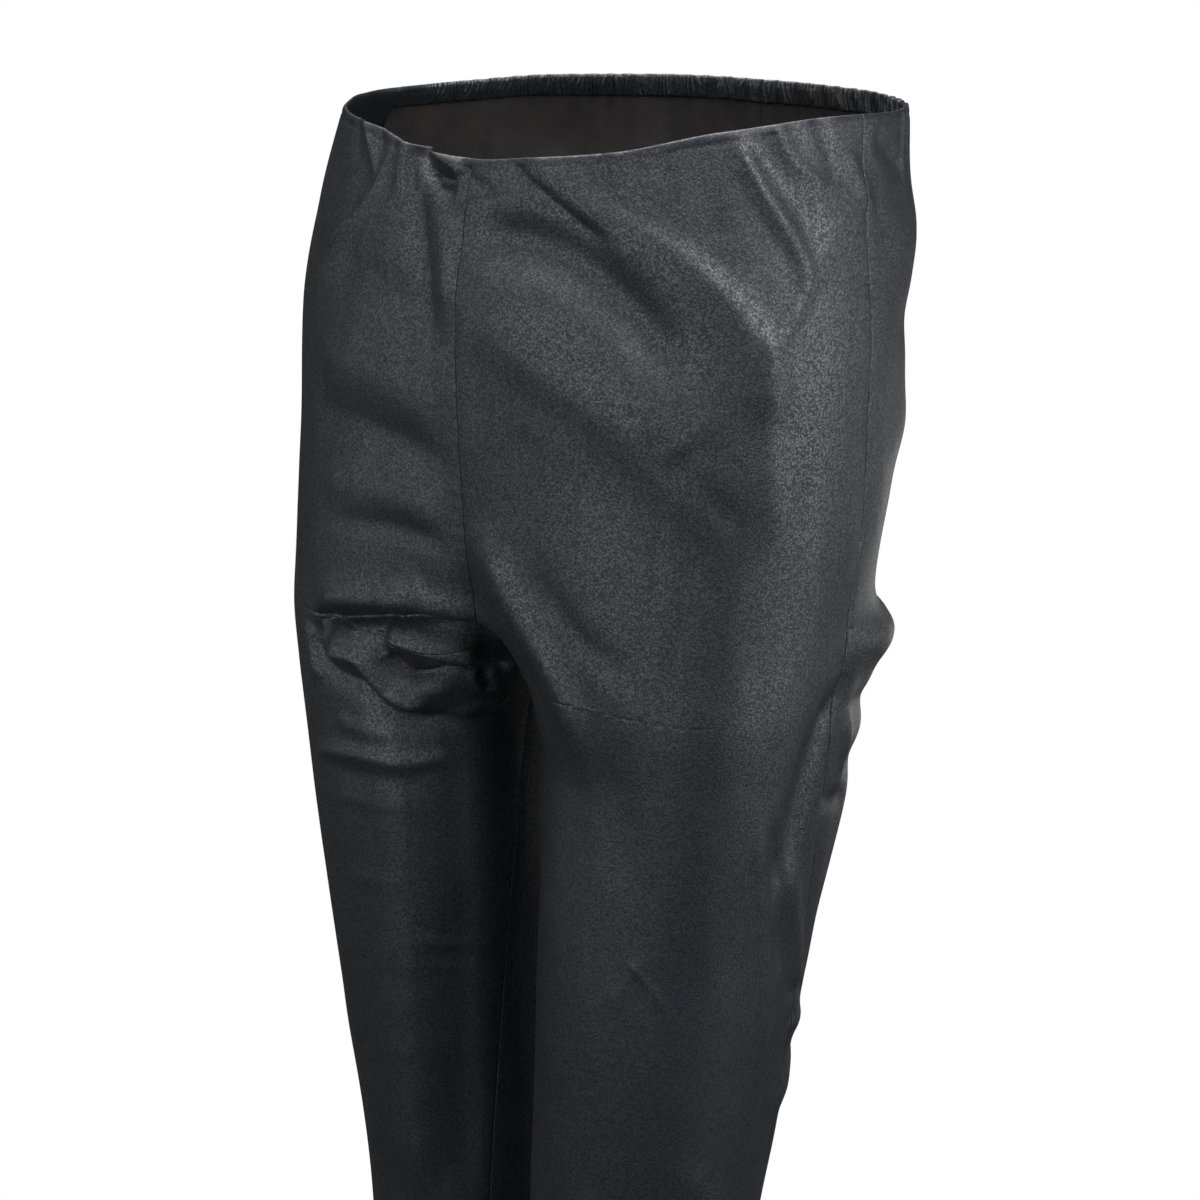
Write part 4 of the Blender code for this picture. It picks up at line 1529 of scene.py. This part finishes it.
def leather_grain_group() -> bpy.types.NodeTree:
    """The grain of leather, built once: small domed pebbles, fine creases and a slow change of tone.

    Returns:
        A group whose inputs are the pebbles and creases to a metre and their depths in metres, and
        whose outputs are a height in metres, a tone and a gloss from 0 to 1, and the pebbles' pits.
    """
    name = "leather_grain"
    if name in bpy.data.node_groups:
        return bpy.data.node_groups[name]
    tree = bpy.data.node_groups.new(name, "ShaderNodeTree")
    for way, labels in (
        ("INPUT", ("Pebbles", "Pebble Depth", "Creases", "Crease Depth")),
        ("OUTPUT", ("Height", "Tone", "Gloss", "Pits")),
    ):
        for label in labels:
            tree.interface.new_socket(label, in_out=way, socket_type="NodeSocketFloat")
    warp_reach, warp_scale, nap_scale = 0.6 * MM, 260.0, 2400.0
    slow_scale, patch_scale, crease_half_width = 11.0, 70.0, 0.07
    wire = Wiring(tree)
    given, result = tree.nodes.new("NodeGroupInput"), tree.nodes.new("NodeGroupOutput")
    place = tree.nodes.new("ShaderNodeTexCoord").outputs["Object"]
    warp = wire.node("ShaderNodeTexNoise", Vector=place, Scale=warp_scale, Detail=2.0)
    warped = wire.node("ShaderNodeVectorMath")
    warped.operation = "MULTIPLY_ADD"
    for socket, value in zip(warped.inputs, (warp.outputs["Color"], (warp_reach,) * 3, place)):
        wire.feed(socket, value)
    pebbles = wire.node("ShaderNodeTexVoronoi", Vector=warped.outputs[0], Scale=given.outputs["Pebbles"])
    pebbles.feature = "F1"
    chance = wire.node("ShaderNodeSeparateColor", Color=pebbles.outputs["Color"]).outputs["Red"]
    round_top = wire.math("SUBTRACT", 1.0, wire.math("POWER", pebbles.outputs["Distance"], 1.6))
    dome = wire.math("MULTIPLY", round_top, wire.math("MULTIPLY_ADD", chance, 0.9, 0.55))
    fine = wire.node("ShaderNodeTexNoise", Vector=place, Scale=nap_scale, Detail=1.0, Roughness=0.6)
    shine = wire.math("MULTIPLY", wire.math("POWER", chance, 1.3), round_top)
    creases = wire.node("ShaderNodeTexNoise", Vector=warped.outputs[0], Detail=4.0, Roughness=0.62)
    wire.feed(creases.inputs["Scale"], given.outputs["Creases"])
    line = wire.math("ABSOLUTE", wire.math("SUBTRACT", creases.outputs["Fac"], 0.5))
    groove = wire.spread(line, 0.0, crease_half_width, 0.0, 1.0)
    slow = wire.node("ShaderNodeTexNoise", Vector=place, Scale=slow_scale, Detail=3.0, Roughness=0.55)
    patch = wire.node("ShaderNodeTexNoise", Vector=place, Scale=patch_scale, Detail=3.0, Roughness=0.6)
    rough = wire.math("ADD", dome, wire.math("MULTIPLY", fine.outputs["Fac"], 0.7))
    grainy = wire.math("MULTIPLY", rough, given.outputs["Pebble Depth"])
    height = wire.math("MULTIPLY_ADD", groove, given.outputs["Crease Depth"], grainy)
    slowly = wire.math("MULTIPLY", slow.outputs["Fac"], 0.6)
    tone = wire.math("MULTIPLY_ADD", patch.outputs["Fac"], 0.4, slowly)
    for label, socket in (
        ("Height", height),
        ("Tone", wire.spread(tone, 0.35, 0.65, 0.0, 1.0)),
        ("Gloss", wire.spread(shine, 0.05, 0.8, 0.0, 1.0)),
        ("Pits", wire.spread(pebbles.outputs["Distance"], 0.25, 0.75, 0.0, 1.0)),
    ):
        wire.feed(result.inputs[label], socket)
    return tree


Colour = tuple[float, float, float, float]


@dataclass(frozen=True)
class LeatherFinish:
    """Black leather: its colours, its gloss and the depth of its grain.

    `crest_wear_and_highlight` maps the relief, between its first two numbers, to the share of the lighter
    `worn` colour on ridges, which is rubbed wear and a painted highlight together.
    The `band` values say how much smoother and duller the rolled band at the waist is, and how much painted
    shade darkens it.
    """

    name: str
    dark: Colour = (0.0070, 0.0098, 0.0122, 1.0)
    light: Colour = (0.0135, 0.0175, 0.0210, 1.0)
    # Lighter colour for the crests: rubbed wear and a painted highlight.
    worn: Colour = (0.030, 0.030, 0.032, 1.0)
    flesh_dark: Colour = (0.020, 0.0185, 0.0175, 1.0)
    flesh_light: Colour = (0.040, 0.037, 0.035, 1.0)
    roughness: tuple[float, float] = (0.42, 0.48)
    flesh_roughness: float = 0.88
    specular: float = 0.30
    tint: Colour = (1.0, 0.985, 1.06, 1.0)
    coat: float = 0.8
    coat_roughness: float = 0.42
    coat_index: float = 1.8
    pebbles: float = 1300.0
    pebble_depth: float = 2.0e-4
    creases: float = 420.0
    crease_depth: float = 2.5e-5
    crest_wear_and_highlight: tuple[float, ...] = (0.25, 1.0, 0.0, 0.6)
    # Painted shade: how much darker the pits between the pebbles are.
    pit_painted_shade: float = 0.5
    band_painted_shade: float = 0.5
    # Painted shade on the rolled band at the waist edge.
    band_smooth: float = 0.75
    band_dull: float = 0.35

    def material(self) -> bpy.types.Material:
        """Makes the finish: grain outside, and the napped flesh side where a mesh is marked `inside`.

        Returns:
            The material.
        """
        made, wire, shader = Wiring.finish(self.name)
        grain = made.node_tree.nodes.new("ShaderNodeGroup")
        grain.node_tree = leather_grain_group()
        sizes = self.pebbles, self.pebble_depth, self.creases, self.crease_depth
        for socket, value in zip(grain.inputs, sizes):
            socket.default_value = value
        inside, relief, band = wire.mark("inside"), wire.mark("relief"), wire.mark("band")
        outside = wire.mix(grain.outputs["Tone"], self.dark, self.light)
        # Lighter colour on fold and rib crests, speckled by the gloss: rubbed wear and a painted highlight.
        ridge = wire.math("MULTIPLY", wire.spread(relief, *self.crest_wear_and_highlight), grain.outputs["Gloss"])
        outside = wire.mix(ridge, outside, self.worn)
        # Painted shade in the pits between the pebbles.
        outside = wire.mix(wire.math("MULTIPLY", grain.outputs["Pits"], self.pit_painted_shade), outside, self.dark)
        # Painted shade: darker colour on the rolled band at the waist edge.
        outside = wire.mix(wire.math("MULTIPLY", band, self.band_painted_shade), outside, self.dark)
        flesh = wire.mix(grain.outputs["Tone"], self.flesh_dark, self.flesh_light)
        wire.feed(shader.inputs["Base Color"], wire.mix(inside, outside, flesh))
        rough = wire.spread(grain.outputs["Gloss"], 0.0, 1.0, *self.roughness)
        mixed = wire.node("ShaderNodeMix", Factor=inside, A=rough, B=self.flesh_roughness)
        wire.feed(shader.inputs["Roughness"], mixed.outputs["Result"])
        smoothing = wire.math("SUBTRACT", 1.0, wire.math("MULTIPLY", band, self.band_smooth))
        bump = wire.node("ShaderNodeBump", Height=wire.math("MULTIPLY", grain.outputs["Height"], smoothing))
        bump.inputs["Distance"].default_value = 1.0
        wire.feed(shader.inputs["Normal"], bump.outputs["Normal"])
        dull = wire.math("MAXIMUM", inside, wire.math("MULTIPLY", band, self.band_dull))
        worn_off = wire.math("SUBTRACT", 1.0, dull)
        shine = wire.math("MULTIPLY", wire.math("MULTIPLY", grain.outputs["Gloss"], self.coat), worn_off)
        wire.feed(shader.inputs["Coat Weight"], shine)
        shader.inputs["Coat Roughness"].default_value = self.coat_roughness
        shader.inputs["Coat IOR"].default_value = self.coat_index
        shader.inputs["Specular IOR Level"].default_value = self.specular
        shader.inputs["Specular Tint"].default_value = self.tint
        return made


@dataclass(frozen=True)
class ThreadFinish:
    """Black sewing thread, with the twist of its plies."""

    name: str = "black_thread"
    colour: Colour = (0.006, 0.006, 0.007, 1.0)
    # The lighter colour is a painted highlight on the crests of the plies.
    light: Colour = (0.016, 0.016, 0.018, 1.0)
    roughness: float = 0.55
    plies: float = 2600.0
    waviness: float = 1.5
    depth: float = 4e-5

    def material(self) -> bpy.types.Material:
        """Makes the finish: fine slanting bands, with a painted highlight on their crests.

        Returns:
            The material.
        """
        made, wire, shader = Wiring.finish(self.name)
        place = made.node_tree.nodes.new("ShaderNodeTexCoord").outputs["Object"]
        twist = wire.node("ShaderNodeTexWave", Vector=place, Scale=self.plies, Distortion=self.waviness)
        twist.bands_direction = "DIAGONAL"
        # Painted highlight: the thread is lighter on the crests of its twist.
        wire.feed(shader.inputs["Base Color"], wire.mix(twist.outputs["Fac"], self.colour, self.light))
        shader.inputs["Roughness"].default_value = self.roughness
        bump = wire.node("ShaderNodeBump", Height=wire.math("MULTIPLY", twist.outputs["Fac"], self.depth))
        bump.inputs["Distance"].default_value = 1.0
        wire.feed(shader.inputs["Normal"], bump.outputs["Normal"])
        return made


def aim(thing: bpy.types.Object, place: "Softbox | Camera") -> None:
    """Adds a camera or a light to the scene, looking at its target from its own side.

    The way back from the target is (sin a cos e, -cos a cos e, sin e) for an azimuth a, 0 at the
    front, and an elevation e.

    Args:
        thing: the camera's or light's object.
        place: what holds its azimuth, elevation, distance and target.
    """
    a, e = np.radians(place.azimuth), np.radians(place.elevation)
    back = Vector((np.sin(a) * np.cos(e), -np.cos(a) * np.cos(e), np.sin(e)))
    thing.location = Vector(place.target) + back * place.distance
    thing.rotation_euler = back.to_track_quat("Z", "Y").to_euler()
    bpy.context.scene.collection.objects.link(thing)


@dataclass(frozen=True)
class Softbox:
    """A square area light that looks at the trousers."""

    name: str
    azimuth: float
    elevation: float
    strength: float
    distance: float = 2.4
    size: float = 1.5
    target: tuple[float, float, float] = (0.0, 0.0, -0.30)

    def build(self) -> None:
        """Makes the light, turned towards its target."""
        data = bpy.data.lights.new(self.name, "AREA")
        data.shape, data.size, data.energy = "SQUARE", self.size, self.strength
        aim(bpy.data.objects.new(self.name, data), self)


@dataclass(frozen=True)
class Camera:
    """The camera: where it looks, from which side, and through which lens."""

    lens: float = 57.0
    sensor: float = 36.0
    azimuth: float = 38.6
    elevation: float = 21.3
    distance: float = 1.0226
    target: tuple[float, float, float] = (-0.0041, 0.0, -0.2733)
    clip: tuple[float, float] = (0.05, 200.0)

    def build(self) -> None:
        """Makes the camera and gives it to the scene."""
        data = bpy.data.cameras.new("camera")
        data.lens, data.sensor_width, data.sensor_fit = self.lens, self.sensor, "HORIZONTAL"
        data.clip_start, data.clip_end = self.clip
        camera = bpy.data.objects.new("camera", data)
        aim(camera, self)
        bpy.context.scene.camera = camera


@dataclass(frozen=True)
class Studio:
    """A white sweep: a pale floor, a dome brighter above than below, and soft lights."""

    floor_drop: float = 1.0 * MM
    floor_reach: float = 60.0
    dome_up: float = 0.01
    dome_down: float = 0.02
    dome_span: tuple[float, float] = (-0.5, 0.9)
    floor_bounce: float = 0.05
    lights: tuple[Softbox, ...] = (
        Softbox("front_right", -15.0, 2.0, 12.0),
        Softbox("front", 5.0, 2.0, 5.0),
        Softbox("front_high", 5.0, 22.0, 7.0),
        Softbox("right", -50.0, 2.0, 6.0),
        Softbox("right_high", -50.0, 45.0, 10.0),
        Softbox("left", 88.0, 2.0, 29.0),
        Softbox("left_high", 80.0, 45.0, 46.0),
        Softbox("rear_left", 130.0, 2.0, 11.0),
        Softbox("overhead", 30.0, 80.0, 28.0, 2.2, 1.8),
        Softbox("behind", -140.0, 70.0, 60.0, 2.2, 1.8),
        Softbox("behind_low", 175.0, -4.0, 0.9, 1.2, 0.5, (-0.03, 0.0, -0.60)),
    )

    def world(self) -> None:
        """Makes the dome: white where the camera sees it, and graded from floor to top as light."""
        world = bpy.data.worlds.new("studio")
        bpy.context.scene.world = world
        world.use_nodes = True
        wire = Wiring(world.node_tree)
        back = world.node_tree.nodes["Background"]
        place = world.node_tree.nodes.new("ShaderNodeTexCoord").outputs["Generated"]
        parts = wire.node("ShaderNodeSeparateXYZ", Vector=place)
        light = wire.spread(parts.outputs["Z"], *self.dome_span, self.dome_down, self.dome_up)
        seen = world.node_tree.nodes.new("ShaderNodeLightPath").outputs["Is Camera Ray"]
        strength = wire.node("ShaderNodeMix", Factor=seen, A=light, B=1.0)
        wire.feed(back.inputs["Strength"], strength.outputs["Result"])
        back.inputs["Color"].default_value = (1.0, 1.0, 1.0, 1.0)

    def floor(self, level: float) -> None:
        """Makes the pale floor: white to the camera, and a dim bounce to everything else.

        Args:
            level: the height of the lowest hem.
        """
        r, z = self.floor_reach, level - self.floor_drop
        mesh = bpy.data.meshes.new("floor")
        mesh.from_pydata([(-r, -r, z), (r, -r, z), (r, r, z), (-r, r, z)], [], [(0, 1, 2, 3)])
        floor = bpy.data.objects.new("floor", mesh)
        bpy.context.scene.collection.objects.link(floor)
        made, wire, shader = Wiring.finish("pale_floor")
        made.node_tree.nodes.remove(shader)
        white = wire.node("ShaderNodeEmission", Strength=1.0)
        bounce = wire.node("ShaderNodeEmission", Strength=self.floor_bounce)
        seen = made.node_tree.nodes.new("ShaderNodeLightPath").outputs["Is Camera Ray"]
        both = made.node_tree.nodes.new("ShaderNodeMixShader")
        for socket, value in zip(both.inputs, (seen, bounce.outputs[0], white.outputs[0])):
            wire.feed(socket, value)
        wire.feed(made.node_tree.nodes["Material Output"].inputs["Surface"], both.outputs[0])
        mesh.materials.append(made)
        floor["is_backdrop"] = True

    def build(self, level: float) -> None:
        """Makes the dome, the floor and the lights, and sets plain display colours.

        Args:
            level: the height of the lowest hem.
        """
        self.world()
        self.floor(level)
        for light in self.lights:
            light.build()
        bpy.context.scene.view_settings.view_transform = "Standard"


@dataclass
class Trousers:
    """The whole pair: its panels, facings, casings and threads."""

    surface: LeatherSurface = LeatherSurface(
        TrouserForm(),
        FOLDS_RIGHT_THIGH
        + FOLDS_RIGHT_WAIST
        + FOLDS_LEFT_FRONT
        + FOLDS_LEFT_LEG
        + FOLDS_SEAT
        + FOLDS_LOWER_LEGS,
        Slack(),
    )
    leather: LeatherFinish = LeatherFinish("black_grained_leather")
    facing: LeatherFinish = LeatherFinish(
        "black_facing_leather", coat=0.4, pebble_depth=5e-5, crease_depth=2e-5
    )
    casing: LeatherFinish = LeatherFinish(
        "black_casing_leather", roughness=(0.30, 0.38), pebble_depth=3e-5, crease_depth=2e-5
    )
    thread: ThreadFinish = ThreadFinish()

    def build(self) -> None:
        """Builds every piece."""
        leather, facing, casing = self.leather.material(), self.facing.material(), self.casing.material()
        thread = self.thread.material()
        for leg in Leg:
            front, back = (Panel(leg, face, self.surface) for face in (Face.FRONT, Face.BACK))
            for panel in (front, back):
                self.report(panel.build(leather))
            self.report(FrontFacing(front).build(facing))
            self.report(BackCasing(back).build(casing))
            self.report(SideSeamThread(leg, self.surface).build(thread))
            self.report(HemStitching(leg, self.surface).build(thread))

    def report(self, piece: bpy.types.Object) -> None:
        """Logs a piece's name, triangles and area.

        Args:
            piece: the piece.
        """
        mesh = piece.data
        area = np.empty(len(mesh.polygons), np.float32)
        mesh.polygons.foreach_get("area", area)
        LOG.info("%s: %d triangles, %.4f m2", piece.name, len(mesh.polygons), float(area.sum()))


def main() -> None:
    """Loads the frame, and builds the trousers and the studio."""
    logging.basicConfig(level=logging.INFO, format="%(message)s")
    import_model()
    solid_box = [list(corner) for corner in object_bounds()]
    Camera().build()
    Trousers().build()
    Studio().build(solid_box[0][2])


if __name__ == "__main__":
    main()
